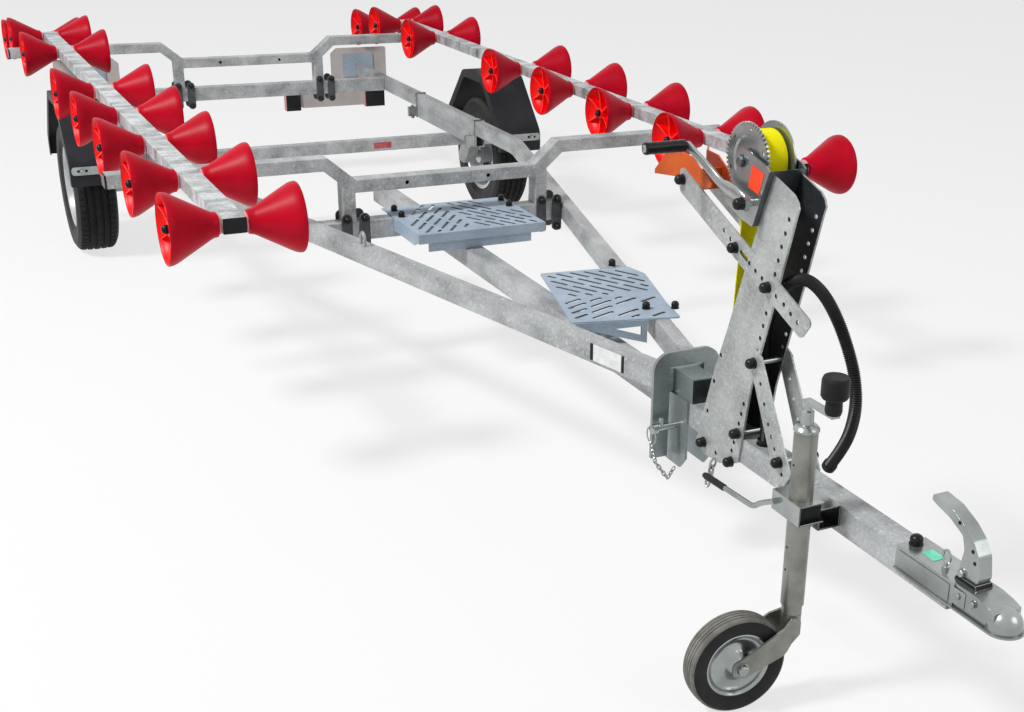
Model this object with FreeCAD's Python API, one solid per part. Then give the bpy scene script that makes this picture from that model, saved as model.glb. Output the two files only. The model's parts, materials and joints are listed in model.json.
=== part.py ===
import FreeCAD, Part
import math
import os

# Galvanised boat trailer with double-cone bed rollers, parked on its jockey wheel.
# All sizes in millimetres. +X points to the coupling, +Y to the left-hand side, +Z up.
# The origin lies on the ground, in the middle of the width and within 20 mm of the middle
# of the length.

os.makedirs("parts", exist_ok=True)

# ---------------------------------------------------------------- driving dimensions
TUBE = 60            # drawbar and cross beam section, square
RAIL_W = 40          # chassis rail width
WALL = 3             # wall of every steel tube
DRAW_Z = 366         # underside of the drawbar
BED_Z = DRAW_Z + TUBE            # underside of the chassis rails and cross beams
BED_TOP = BED_Z + TUBE

RAIL_OUT = 702       # outer face of a chassis rail in its straight part
RAIL_REAR_X = -2842
RAIL_BEND_X = -772   # where the outer faces would meet
RAIL_BEND_R = 400
RAIL_SLOPE = 0.252   # sideways run of the V per unit of length
STUB_HALF = TUBE / 2

CROSS_FRONT_X = 172  # rear faces of the two cross beams, which carry the yokes
CROSS_REAR_X = -2428

DRAW_REAR_X = -462
DRAW_FRONT_X = 2780

YOKE_H = 40
YOKE_HALF = 1050     # to the ends of the arms
YOKE_ARM_TOP = 696
YOKE_MID_TOP = 620
YOKE_KNEE = (306, 395)           # sideways start and end of the slope
YOKE_LEG = (312, 352)
YOKE_HOLE_Y = 140
YOKE_HOLE_R = 6.5

BED_RAIL_Y = 855     # middle of a roller rail
BED_RAIL_W = 60
BED_RAIL_H = 40
BED_RAIL_FRONT_X = 979
BED_RAIL_BEND_X = -2610
BED_RAIL_DROP = math.radians(9.6)
BED_RAIL_TAIL = 318  # length of the lowered tail

ROLLER_X = (-2872, -2570, -2072, -1062, -556, -64, 442, 952)
ROLLER_R = 92
ROLLER_HALF = 170    # rail middle to the open face
ROLLER_GAP = 6       # cone to rail side
SPINDLE_R = 10
RUNNING = 0.05       # radial clearance of everything that turns or slides

WHEEL_X = -1538
WHEEL_Y = 895
TYRE_R = 262
TYRE_W = 158
RIM_R = 152
HUB_FACE_Y = 908
STUB_AXLE_R = 17.5

AXLE_X = (-1512, -1462)
AXLE_Z = (326, 376)
AXLE_HALF = 742
CARRIAGE_X = (-1922, -1162)

FENDER_Y = (800, 990)
FENDER_TOP = 634
FENDER_FLAT = 118    # half length of the flat top
FENDER_REACH = 326   # wheel centre to the upright ends
FENDER_KNEE_Z = 415
FENDER_LOW = 332
FENDER_T = 3
FENDER_LIP = 34

PLATE = 5            # post plates
POST_IN = TUBE / 2
POST_OUT = POST_IN + PLATE
BRACE_T = 4

GEAR_X, GEAR_Z = 2048, 1038
GEAR_TEETH, PINION_TEETH, MODULE = 51, 9, 3
PINION_WAY = (0.551, -0.8345)    # from the gear to the crank
WINCH_IN = (-46, 36)             # inner faces of the winch frame
FLANGE_R = 77        # far flange of the drum
WINCH_SHAFT_R = 8

JOCKEY_X, JOCKEY_Y = 2431, -116
JOCKEY_TUBE_R = 24
JOCKEY_STEM_R = 21
JOCKEY_WHEEL_R = 107.5
JOCKEY_WHEEL_W = 50
JOCKEY_TRAIL = 125
CASTOR_YAW = -5      # degrees, wheel swung about the stem

BALL_X, BALL_Z = 2895, 392
BALL_R = 25
NOSE_R = 34
LIP_R, LIP_T = 38, 4

V = FreeCAD.Vector
X, Y, Z = V(1, 0, 0), V(0, 1, 0), V(0, 0, 1)
AXES = {"x": X, "y": Y, "z": Z}


# ---------------------------------------------------------------- helpers
def box(x0, x1, y0, y1, z0, z1):
    """Block between two corners."""
    return Part.makeBox(x1 - x0, y1 - y0, z1 - z0, V(x0, y0, z0))


def rod(start, axis, radius, length):
    """Round bar from a point along an axis."""
    return Part.makeCylinder(radius, length, V(*start), axis)


def place(u, v, w, axis):
    """Point from two outline values and one value along the extrusion axis."""
    return {"x": V(w, u, v), "y": V(u, w, v), "z": V(u, v, w)}[axis]


def outline(points, axis, at, radii=None):
    """Closed wire through the points, with the listed corners rounded."""
    radii = radii or {}
    count = len(points)
    stops = []
    for i, (u, v) in enumerate(points):
        r = radii.get(i, 0)
        here = place(u, v, at, axis)
        if not r:
            stops.append((here, None, here))
            continue
        back = place(*points[i - 1], at, axis) - here
        ahead = place(*points[(i + 1) % count], at, axis) - here
        back.normalize()
        ahead.normalize()
        half = back.getAngle(ahead) / 2
        reach = r / math.tan(half)
        middle = back + ahead
        middle.normalize()
        centre = here + middle * (r / math.sin(half))
        stops.append((here + back * reach, centre - middle * r, here + ahead * reach))
    edges = []
    for i in range(count):
        start, mid, end = stops[i]
        if mid is not None:
            edges.append(Part.Arc(start, mid, end).toShape())
        after = stops[(i + 1) % count][0]
        if end.distanceToPoint(after) > 1e-6:
            edges.append(Part.makeLine(end, after))
    return Part.Wire(edges)


def prism(points, axis, low, high, radii=None):
    """Outline pulled straight along an axis."""
    face = Part.Face(outline(points, axis, low, radii))
    return face.extrude(AXES[axis] * (high - low))


def inset(points, steps):
    """Anticlockwise outline with edge i moved inward by steps[i]."""
    lines = []
    for i, (u, v) in enumerate(points):
        u1, v1 = points[(i + 1) % len(points)]
        long = math.hypot(u1 - u, v1 - v)
        du, dv = (u1 - u) / long, (v1 - v) / long
        lines.append((u - dv * steps[i], v + du * steps[i], du, dv))
    result = []
    for i in range(len(lines)):
        au, av, adu, adv = lines[i - 1]
        bu, bv, bdu, bdv = lines[i]
        t = ((bu - au) * bdv - (bv - av) * bdu) / (adu * bdv - adv * bdu)
        result.append((au + adu * t, av + adv * t))
    return result


def hollow(points, axis, low, high, radii=None, open_edges=(), wall=WALL):
    """Tube of plate wall inside an outline, open where an edge is listed."""
    steps = [-1 if i in open_edges else wall for i in range(len(points))]
    inner_radii = {}
    for i, r in (radii or {}).items():
        a, b, c = points[i - 1], points[i], points[(i + 1) % len(points)]
        turn = (b[0] - a[0]) * (c[1] - b[1]) - (b[1] - a[1]) * (c[0] - b[0])
        inner_radii[i] = r - wall if turn > 0 else r + wall
    inner = prism(inset(points, steps), axis, low + wall, high - wall, inner_radii)
    return prism(points, axis, low, high, radii).cut(inner)


def square_tube(x0, x1, y0, y1, z0, z1, along, wall=WALL):
    """Straight tube, open at both ends."""
    gap = {"x": (-1, wall, wall), "y": (wall, -1, wall), "z": (wall, wall, -1)}[along]
    void = box(x0 + gap[0], x1 - gap[0], y0 + gap[1], y1 - gap[1], z0 + gap[2], z1 - gap[2])
    return box(x0, x1, y0, y1, z0, z1).cut(void)


def spun(profile, centre, axis):
    """Profile of (radius, distance) pairs turned about an axis through a point."""
    side = X if abs(axis.dot(Z)) > 0.5 or abs(axis.dot(Y)) > 0.5 else Z
    points = [V(*centre) + side * r + axis * t for r, t in profile]
    face = Part.Face(Part.makePolygon(points + points[:1]))
    return face.revolve(V(*centre), axis, 360)


def stack(profile, x, y):
    """Upright turned piece from (radius, height) pairs, built of cones and short cylinders."""
    shape = None
    for (r0, z0), (r1, z1) in zip(profile, profile[1:]):
        if r0 == r1:
            piece = rod((x, y, z0), Z, r0, z1 - z0)
        else:
            piece = Part.makeCone(r0, r1, z1 - z0, V(x, y, z0), Z)
        shape = piece if shape is None else shape.fuse(piece)
    return shape


def flip(shape):
    """Mirror image on the other side of the trailer."""
    return shape.mirror(V(0, 0, 0), Y)


def moved(shape, x=0, y=0, z=0):
    """Copy shifted by the given distances."""
    copy = shape.copy()
    copy.translate(V(x, y, z))
    return copy


def save(name, *shapes):
    """Write one node as a STEP file."""
    solids = [solid for shape in shapes for solid in shape.Solids]
    result = solids[0] if len(solids) == 1 else Part.Compound(solids)
    result.exportStep("parts/" + name + ".step")


def turned_path(name, points, diameter):
    """Straight runs joined by tangent arcs through a list of points."""
    stops = [V(*p) for p in points]
    edges, start, tightest = [], stops[0], None
    for i in range(1, len(stops) - 1):
        back, ahead = stops[i - 1] - stops[i], stops[i + 1] - stops[i]
        shorter = 0.45 * min(back.Length, ahead.Length)
        back.normalize()
        ahead.normalize()
        half = back.getAngle(ahead) / 2
        r = shorter * math.tan(half)
        tightest = r if tightest is None else min(tightest, r)
        middle = back + ahead
        middle.normalize()
        bend_in, bend_out = stops[i] + back * shorter, stops[i] + ahead * shorter
        top_of_bend = stops[i] + middle * (r / math.sin(half) - r)
        edges.append(Part.makeLine(start, bend_in))
        edges.append(Part.Arc(bend_in, top_of_bend, bend_out).toShape())
        start = bend_out
    edges.append(Part.makeLine(start, stops[-1]))
    print("%s: tightest bend %.1f mm for a diameter of %.1f mm" % (name, tightest, diameter))
    return Part.Wire(edges)


def cord(name, points, diameter):
    """Round cord along a turned path."""
    path = turned_path(name, points, diameter)
    start = V(*points[0])
    along = V(*points[1]) - start
    ring = Part.Wire([Part.makeCircle(diameter / 2, start, along)])
    return path.makePipeShell([ring], True, False)


def inner_rail_y(x):
    """Inner face of the V part of a chassis rail."""
    outer = RAIL_OUT - (x - RAIL_BEND_X) * RAIL_SLOPE
    return outer - RAIL_W * math.hypot(1, RAIL_SLOPE)


# ---------------------------------------------------------------- chassis
HEAD_X = (1776, 1786)            # head plate, rear and front face
outer_end = RAIL_OUT - (HEAD_X[0] - RAIL_BEND_X) * RAIL_SLOPE
inner_bend_x = RAIL_BEND_X + (RAIL_W - RAIL_W * math.hypot(1, RAIL_SLOPE)) / RAIL_SLOPE
stub_meet_x = inner_bend_x + (RAIL_OUT - RAIL_W - STUB_HALF) / RAIL_SLOPE
rail_plan = [
    (RAIL_REAR_X, RAIL_OUT),
    (RAIL_REAR_X, RAIL_OUT - RAIL_W),
    (inner_bend_x, RAIL_OUT - RAIL_W),
    (stub_meet_x, STUB_HALF),
    (HEAD_X[0], STUB_HALF),
    (HEAD_X[0], outer_end),
    (RAIL_BEND_X, RAIL_OUT),
]
rail = hollow(
    rail_plan, "z", BED_Z, BED_TOP,
    {2: RAIL_BEND_R - RAIL_W / 2, 6: RAIL_BEND_R + RAIL_W / 2}, open_edges=(0,),
)
save("chassis_rails", rail, flip(rail))

front_x1 = CROSS_FRONT_X + TUBE
cross_front = prism(
    [(CROSS_FRONT_X, -inner_rail_y(CROSS_FRONT_X)), (front_x1, -inner_rail_y(front_x1)),
     (front_x1, inner_rail_y(front_x1)), (CROSS_FRONT_X, inner_rail_y(CROSS_FRONT_X))],
    "z", BED_Z, BED_TOP,
).cut(box(CROSS_FRONT_X + WALL, front_x1 - WALL, -500, 500, BED_Z + WALL, BED_TOP - WALL))
rail_in = RAIL_OUT - RAIL_W
cross_rear = square_tube(CROSS_REAR_X, CROSS_REAR_X + TUBE, -rail_in, rail_in,
                         BED_Z, BED_TOP, "y")
save("cross_beams", cross_front, cross_rear)

# yokes: raised arms for the roller rails, on two legs each
knee_in, knee_out = YOKE_KNEE
rise = YOKE_ARM_TOP - YOKE_MID_TOP
run = knee_out - knee_in
slant = math.hypot(rise, run)
low_y = knee_in + YOKE_H * rise / slant
low_z = YOKE_MID_TOP - YOKE_H * run / slant


def under_slope(z):
    """Sideways place where the underside of the slope has a height."""
    return low_y + (z - low_z) * run / rise


def under_slope_z(y):
    """Height of the underside of the slope."""
    return low_z + (y - low_y) * rise / run


half_outline = [
    (YOKE_LEG[0], YOKE_MID_TOP - YOKE_H), (YOKE_LEG[0], BED_TOP), (YOKE_LEG[1], BED_TOP),
    (YOKE_LEG[1], under_slope_z(YOKE_LEG[1])),
    (under_slope(YOKE_ARM_TOP - YOKE_H), YOKE_ARM_TOP - YOKE_H),
    (YOKE_HALF, YOKE_ARM_TOP - YOKE_H), (YOKE_HALF, YOKE_ARM_TOP),
    (knee_out, YOKE_ARM_TOP), (knee_in, YOKE_MID_TOP),
]
yoke_outline = half_outline + [(-y, z) for y, z in reversed(half_outline)]
last = len(yoke_outline) - 1
yokes = []
for x in (CROSS_FRONT_X, CROSS_REAR_X):
    yoke = hollow(yoke_outline, "x", x, x + TUBE, open_edges=(1, 5, last - 6, last - 2))
    for y in (-YOKE_HOLE_Y, YOKE_HOLE_Y):
        yoke = yoke.cut(rod((x - 1, y, YOKE_MID_TOP - YOKE_H / 2), X, YOKE_HOLE_R, TUBE + 2))
    yokes.append(yoke)
save("yokes", *yokes)

CLAMP_Y = (-345, -287, 331, 388)
CLAMP_W, CLAMP_T, CLAMP_Z = 34, 6, (390, 514)
clamps = []
for x in (CROSS_FRONT_X, CROSS_REAR_X):
    for y in CLAMP_Y:
        for x0 in (x - CLAMP_T, x + TUBE):
            r = CLAMP_W / 2 - 1
            clamps.append(prism(
                [(y - CLAMP_W / 2, CLAMP_Z[0]), (y + CLAMP_W / 2, CLAMP_Z[0]),
                 (y + CLAMP_W / 2, CLAMP_Z[1]), (y - CLAMP_W / 2, CLAMP_Z[1])],
                "x", x0, x0 + CLAMP_T, {0: r, 1: r, 2: r, 3: r}))
save("yoke_clamps", *clamps)

# ---------------------------------------------------------------- roller rails and rollers
bed_z0, bed_z1 = YOKE_ARM_TOP, YOKE_ARM_TOP + BED_RAIL_H
bed_mid = (bed_z0 + bed_z1) / 2
dx, dz = math.cos(BED_RAIL_DROP), math.sin(BED_RAIL_DROP)
half_drop = math.tan(BED_RAIL_DROP / 2) * BED_RAIL_H / 2


def tail(distance, offset):
    """Point of the lowered tail: distance behind the bend, offset above its middle."""
    return (BED_RAIL_BEND_X - distance * dx - offset * dz,
            bed_mid - distance * dz + offset * dx)


half_h = BED_RAIL_H / 2
rail_side = [
    (BED_RAIL_FRONT_X, bed_z1), (BED_RAIL_BEND_X - half_drop, bed_z1),
    tail(BED_RAIL_TAIL, half_h), tail(BED_RAIL_TAIL, -half_h),
    (BED_RAIL_BEND_X + half_drop, bed_z0), (BED_RAIL_FRONT_X, bed_z0),
]
bed_y0, bed_y1 = BED_RAIL_Y - BED_RAIL_W / 2, BED_RAIL_Y + BED_RAIL_W / 2
bed_rail = hollow(rail_side, "y", bed_y0, bed_y1, open_edges=(2, 5))
roller_z = []
for x in ROLLER_X:
    behind = max(0, (BED_RAIL_BEND_X - x) / dx)
    roller_z.append(bed_mid - behind * dz)
for x, z in zip(ROLLER_X, roller_z):
    bed_rail = bed_rail.cut(rod((x, bed_y0 - 1, z), Y, SPINDLE_R + RUNNING, BED_RAIL_W + 2))
save("roller_rails", bed_rail, flip(bed_rail))

cone_start = BED_RAIL_W / 2 + ROLLER_GAP
cone = [  # radius, distance from the rail middle
    (SPINDLE_R, cone_start), (28, cone_start), (32, cone_start + 16), (86, 146), (91.5, 160),
    (ROLLER_R, ROLLER_HALF), (ROLLER_R - 5, ROLLER_HALF), (80, 146), (38, 76), (18, 76),
    (18, 160), (0, 160),
]
roller = spun([(r, -t) for r, t in reversed(cone)] + cone, (0, 0, 0), Y)
for i, (x, z) in enumerate(zip(ROLLER_X, roller_z), 1):
    save("roller_left_%d" % i, moved(roller, x, BED_RAIL_Y, z))
    save("roller_right_%d" % i, moved(roller, x, -BED_RAIL_Y, z))

# black end caps of the roller rails and of the yoke arms
CAP_T, CAP_PLUG, CAP_SLACK = 5, 12, 0.3
plug = WALL + CAP_SLACK
caps = []
front_cap = box(BED_RAIL_FRONT_X, BED_RAIL_FRONT_X + CAP_T, bed_y0, bed_y1, bed_z0, bed_z1).fuse(
    box(BED_RAIL_FRONT_X - CAP_PLUG, BED_RAIL_FRONT_X + 1, bed_y0 + plug, bed_y1 - plug,
        bed_z0 + plug, bed_z1 - plug))
rear_cap = box(-CAP_T, 0, bed_y0, bed_y1, -half_h, half_h).fuse(
    box(-1, CAP_PLUG, bed_y0 + plug, bed_y1 - plug, plug - half_h, half_h - plug))
rear_cap.rotate(V(0, 0, 0), Y, -math.degrees(BED_RAIL_DROP))
rear_cap = moved(rear_cap, tail(BED_RAIL_TAIL, 0)[0], 0, tail(BED_RAIL_TAIL, 0)[1])
caps += [front_cap, rear_cap]
for x in (CROSS_FRONT_X, CROSS_REAR_X):
    caps.append(box(x, x + TUBE, YOKE_HALF, YOKE_HALF + CAP_T, YOKE_ARM_TOP - YOKE_H,
                    YOKE_ARM_TOP).fuse(
        box(x + plug, x + TUBE - plug, YOKE_HALF - CAP_PLUG, YOKE_HALF + 1,
            YOKE_ARM_TOP - YOKE_H + plug, YOKE_ARM_TOP - plug)))
draw_cap = box(DRAW_REAR_X - CAP_T, DRAW_REAR_X, -STUB_HALF, STUB_HALF, DRAW_Z, BED_Z).fuse(
    box(DRAW_REAR_X - 1, DRAW_REAR_X + CAP_PLUG, plug - STUB_HALF, STUB_HALF - plug,
        DRAW_Z + plug, BED_Z - plug))
save("end_caps", *(caps + [flip(cap) for cap in caps] + [draw_cap]))

# ---------------------------------------------------------------- axle and wheels
axle_beam = square_tube(AXLE_X[0], AXLE_X[1], -AXLE_HALF, AXLE_HALF, AXLE_Z[0], AXLE_Z[1], "y")
carriage = square_tube(CARRIAGE_X[0], CARRIAGE_X[1], rail_in, RAIL_OUT, AXLE_Z[1], BED_Z, "x")
save("axle_frame", axle_beam.fuse(carriage).fuse(flip(carriage)).removeSplitter())

STRAP_W, STRAP_T, LUG = 18, 4, 40
straps = []
for x in (CARRIAGE_X[0] + 10, CARRIAGE_X[1] - 10 - STRAP_W):
    hoop = box(x, x + STRAP_W, rail_in - STRAP_T, RAIL_OUT + STRAP_T, AXLE_Z[1],
               BED_TOP + STRAP_T).cut(
        box(x - 1, x + STRAP_W + 1, rail_in, RAIL_OUT, AXLE_Z[1] - 1, BED_TOP))
    lug = box(x, x + STRAP_W, rail_in - STRAP_T - LUG, rail_in - STRAP_T + 1,
              AXLE_Z[1] + 6, BED_Z)
    straps.append(hoop.fuse(lug))
save("carriage_straps", *(straps + [flip(strap) for strap in straps]))

axle_mid_x = sum(AXLE_X) / 2
axle_mid_z = sum(AXLE_Z) / 2
ARM_Y = (AXLE_HALF, 792)
arm = prism(
    [(axle_mid_x - 40, axle_mid_z + 25), (axle_mid_x - 40, axle_mid_z - 10),
     (WHEEL_X - 32, TYRE_R + 12), (WHEEL_X - 32, TYRE_R - 32), (WHEEL_X + 32, TYRE_R - 32),
     (axle_mid_x + 40, axle_mid_z - 45), (axle_mid_x + 40, axle_mid_z + 25)],
    "y", ARM_Y[0], ARM_Y[1], {3: 24, 4: 24, 0: 10, 6: 10})
arm = arm.fuse(rod((WHEEL_X, ARM_Y[1] - 1, TYRE_R), Y, STUB_AXLE_R, HUB_FACE_Y - 3 - ARM_Y[1] + 1))
save("suspension_arms", arm, flip(arm))

half_w = TYRE_W / 2
tyre_profile = [
    (RIM_R, -60), (170, -66), (188, -75), (212, -half_w), (236, -77), (250, -70),
    (258, -60), (TYRE_R, -46), (TYRE_R, 46), (258, 60), (250, 70), (236, 77),
    (212, half_w), (188, 75), (170, 66), (RIM_R, 60),
]
tyre = spun(tyre_profile, (WHEEL_X, WHEEL_Y, TYRE_R), Y)
# rim with hub: distances along the axle from the middle of the tyre
face = HUB_FACE_Y - WHEEL_Y
bore = STUB_AXLE_R + RUNNING
rim_profile = [
    (bore, -72), (42, -72), (42, face - 14), (62, face - 10), (66, face), (100, face + 4),
    (118, face - 2), (132, face - 22), (138, -18), (142, -40), (147, -62), (RIM_R + 9, -62),
    (RIM_R + 10, -66), (RIM_R + 4, -66), (RIM_R, -60), (RIM_R, 60), (RIM_R + 4, 66),
    (RIM_R + 10, 66), (RIM_R + 9, 62), (147, 62), (142, 40), (139, 8), (124, face + 8),
    (102, face + 12), (64, face + 7), (34, face + 7), (30, face + 28), (24, face + 34),
    (0, face + 34), (0, face - 2), (bore, face - 2),
]
rim = spun(rim_profile, (WHEEL_X, WHEEL_Y, TYRE_R), Y)
save("tyre_left", tyre)
save("rim_left", rim)
save("tyre_right", flip(tyre))
save("rim_right", flip(rim))


# ---------------------------------------------------------------- fenders
def fender_points(t):
    """Outer fender outline moved inward by t."""
    side = [(FENDER_REACH, FENDER_LOW), (FENDER_REACH, FENDER_KNEE_Z),
            (FENDER_FLAT, FENDER_TOP), (-FENDER_FLAT, FENDER_TOP),
            (-FENDER_REACH, FENDER_KNEE_Z), (-FENDER_REACH, FENDER_LOW)]
    points = [(WHEEL_X + x, z) for x, z in side]
    return inset(points, (t, t, t, t, t, -1 if t else 0))


def fender_radii(t):
    return {1: 60 - t, 2: 60 - t, 3: 60 - t, 4: 60 - t}


fender = prism(fender_points(0), "y", *FENDER_Y, fender_radii(0))
fender = fender.cut(prism(fender_points(FENDER_T), "y", FENDER_Y[0] + FENDER_T,
                          FENDER_Y[1] - FENDER_T, fender_radii(FENDER_T)))
fender = fender.cut(prism(fender_points(FENDER_LIP), "y", FENDER_Y[0] - 1,
                          FENDER_Y[1] + 1, fender_radii(FENDER_LIP)))
save("fenders", fender, flip(fender))

BAR_T, BAR_Z = 6, (378, 410)
bars = []
for x in (WHEEL_X + FENDER_REACH, WHEEL_X - FENDER_REACH - BAR_T):
    bar = prism([(RAIL_OUT, BAR_Z[0]), (FENDER_Y[1] - 5, BAR_Z[0]),
                 (FENDER_Y[1] - 5, BAR_Z[1]), (RAIL_OUT, BAR_Z[1])],
                "x", x, x + BAR_T, {1: 12, 2: 12})
    slot = prism([(925, 389), (965, 389), (965, 399), (925, 399)],
                 "x", x - 1, x + BAR_T + 1, {0: 4.9, 1: 4.9, 2: 4.9, 3: 4.9})
    bars.append(bar.cut(slot))
save("fender_bars", *(bars + [flip(bar) for bar in bars]))

# ---------------------------------------------------------------- drawbar and head
save("drawbar", square_tube(DRAW_REAR_X, DRAW_FRONT_X, -STUB_HALF, STUB_HALF,
                            DRAW_Z, BED_Z, "x"))

HEAD_HALF, HEAD_TOP, HEAD_LOW, HEAD_CUT = 90, 530, 265, 46
STUB_X = (1700, 1865)
CHEEK_T, CHEEK_X, CHEEK_LOW = 6, (1700, 1853), 250
PIN_X, PIN_R = 1818, 8
PIN_Z = DRAW_Z - PIN_R
head = prism(
    [(-HEAD_HALF, HEAD_LOW), (-HEAD_CUT, HEAD_LOW), (-HEAD_CUT, BED_TOP + 6),
     (HEAD_CUT, BED_TOP + 6), (HEAD_CUT, HEAD_LOW), (HEAD_HALF, HEAD_LOW),
     (HEAD_HALF, HEAD_TOP), (-HEAD_HALF, HEAD_TOP)],
    "x", HEAD_X[0], HEAD_X[1], {6: 44, 7: 44})
stub = square_tube(STUB_X[0], STUB_X[1], -STUB_HALF, STUB_HALF, BED_Z, BED_TOP, "x")
cheek = prism(
    [(CHEEK_X[0], BED_Z), (CHEEK_X[0], 330), (1750, CHEEK_LOW), (CHEEK_X[1] - 25, CHEEK_LOW),
     (CHEEK_X[1], CHEEK_LOW + 30), (CHEEK_X[1], BED_Z)],
    "y", STUB_HALF, STUB_HALF + CHEEK_T)
cheek = cheek.cut(rod((PIN_X, 0, PIN_Z), Y, PIN_R, 60))
save("head_bracket", head, stub, cheek, flip(cheek))
pin = rod((PIN_X, -100, PIN_Z), Y, PIN_R, 145)
pin = pin.fuse(rod((PIN_X, -110, PIN_Z), Y, 12, 14))
save("lock_pin", pin)

# ---------------------------------------------------------------- standing platforms
STEP_T = 4
step = box(108, 468, -190, 240, BED_TOP, BED_TOP + STEP_T)
step = step.fuse(box(464, 468, -190, 240, BED_TOP - 26, BED_TOP + 1))
step = step.fuse(box(440, 444, -150, 200, BED_Z, BED_TOP + 1))
for y in (-190, 236):
    step = step.fuse(prism([(front_x1, BED_TOP + 1), (front_x1, 446), (420, 446),
                            (467, BED_TOP - 20), (467, BED_TOP + 1)],
                           "y", y, y + STEP_T))
save("step_front", step.removeSplitter())

platform_plan = [(974, -12), (1396, -116), (1465, 167), (1356, 189), (1089, 265), (1009, 252)]
platform = prism(platform_plan, "z", BED_TOP, BED_TOP + STEP_T, {0: 8, 1: 8, 2: 8})
yaw = math.degrees(math.atan2(1465 - 1396, 167 + 116))
flange = prism([(4, BED_TOP + 1), (4, BED_TOP - 10), (196, 424), (196, BED_TOP + 1)],
               "x", -STEP_T, 0)
flange.rotate(V(0, 0, 0), Z, -yaw)
platform = platform.fuse(moved(flange, 1400, -112)).removeSplitter()
save("step_head", platform)

# ---------------------------------------------------------------- lights
BOARD_T = 3
BOARD_X = RAIL_REAR_X - BOARD_T
board = prism(
    [(355, 272), (710, 272), (710, 352), (830, 360), (830, 572), (560, 572), (530, 545),
     (530, 360), (355, 352)],
    "x", BOARD_X, RAIL_REAR_X, {0: 20, 1: 20, 4: 10, 5: 10, 6: 8, 8: 10})
save("light_boards", board, flip(board))
lamps = []
for y0, y1 in ((280, 356), (708, 812)):
    lamps.append(box(BOARD_X - 30, BOARD_X + 14, y0, y1, 262, 362).cut(board))
save("lamps", *(lamps + [flip(lamp) for lamp in lamps]))

collar = box(RAIL_REAR_X, RAIL_REAR_X + 6, 595, 757, 422, 540).cut(
    box(RAIL_REAR_X - 1, RAIL_REAR_X + 7, rail_in, RAIL_OUT, BED_Z, BED_TOP))
save("board_clamps", collar, flip(collar))

# ---------------------------------------------------------------- winch post
POST_EDGE = ((2081, 869), (2144, 1026))   # upper rear edge, which carries the winch
post_side = [
    (1899, 355), (1930, 331), (1960, 331), (2006, 335), (2077, 366), (2109, 552), (2188, 815),
    (2230, 961), (2236, 979), (2231, 991), (2215, 1004), POST_EDGE[1], POST_EDGE[0],
    (2004, 657), (1960, 548),
]
POST_BOLT_R = 6
post_bolts = ((1932, DRAW_Z - POST_BOLT_R - 2), (2051, DRAW_Z - POST_BOLT_R - 2),
              (2075, BED_Z + POST_BOLT_R + 5), (2242, BED_Z + POST_BOLT_R + 5), (2122, 619))
brace_out = POST_OUT + BRACE_T
post = prism(post_side, "y", POST_IN, POST_OUT)
post = post.fuse(flip(post))
for x, z in post_bolts:
    post = post.fuse(rod((x, -brace_out, z), Y, POST_BOLT_R, 2 * brace_out))
save("post_plates", post)

ARM_REAR_X, ARM_NEAR_X, ARM_FAR_X = 1779, 2316, 2174
ARM_LOW, ARM_TOP = (915, -0.3776), (974, -0.3815)    # height at the rear end, slope


def brace_arm(front_x):
    """Long arm of the bow stop, ending at front_x."""
    def edge(line, x):
        return line[0] + line[1] * (x - ARM_REAR_X)
    return prism([(ARM_REAR_X, ARM_LOW[0]), (front_x - 34, edge(ARM_LOW, front_x - 34)),
                  (front_x, edge(ARM_TOP, front_x)), (ARM_REAR_X, ARM_TOP[0])],
                 "y", POST_OUT, brace_out, {0: 14, 1: 14, 2: 12, 3: 12})


strut = prism([(2092, 640), (2232, 387), (2262, 390), (2285, 421), (2148, 640), (2120, 652)],
              "y", POST_OUT, brace_out, {2: 10, 3: 10})
for x, z in post_bolts[3:]:
    strut = strut.cut(rod((x, POST_OUT - 1, z), Y, POST_BOLT_R, BRACE_T + 2))
save("post_braces", flip(brace_arm(ARM_NEAR_X)), brace_arm(ARM_FAR_X), strut, flip(strut))

# bow stop: two plates that open into a V behind the arms, joined by a web
BOW_T = 5
BOW_FRONT_X, BOW_BEND_X, BOW_TIP = 1905, 1776, (1721, 71.7)
bend = math.atan2(BOW_TIP[1] - POST_OUT, BOW_BEND_X - BOW_TIP[0])
bow_in = (BOW_TIP[0] - BOW_T * math.sin(bend), BOW_TIP[1] - BOW_T * math.cos(bend))
bow_plan = [
    (BOW_FRONT_X, POST_OUT - BOW_T), (BOW_FRONT_X, POST_OUT), (BOW_BEND_X, POST_OUT), BOW_TIP,
    bow_in, (BOW_BEND_X - BOW_T * math.tan(bend / 2), POST_OUT - BOW_T),
]
bow_side = [(1715, 944), (1785, 944), (1785, 925), (1850, 925), (1880, 940),
            (BOW_FRONT_X, 950), (BOW_FRONT_X, 955), (1822, 998), (1748, 1002)]
bow_plate = prism(bow_plan, "z", 900, 1020).common(prism(bow_side, "y", 0, 100))
bow_web = box(1838, 1843, -POST_OUT + 1, POST_OUT - 1, 928, 975)
save("bow_bracket", bow_plate.fuse(flip(bow_plate)).fuse(bow_web))

# ---------------------------------------------------------------- winch
gear_r = GEAR_TEETH * MODULE / 2
pinion_r = PINION_TEETH * MODULE / 2
reach = gear_r + pinion_r
CRANK_X = GEAR_X + reach * PINION_WAY[0]
CRANK_Z = GEAR_Z + reach * PINION_WAY[1]
WINCH_T = 4
frame_y = (WINCH_IN[0] - WINCH_T, WINCH_IN[1] + WINCH_T)
edge_run = (POST_EDGE[1][0] - POST_EDGE[0][0]) / (POST_EDGE[1][1] - POST_EDGE[0][1])


def post_edge_x(z):
    """Upper rear edge of the post at a height."""
    return POST_EDGE[0][0] + (z - POST_EDGE[0][1]) * edge_run


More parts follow.
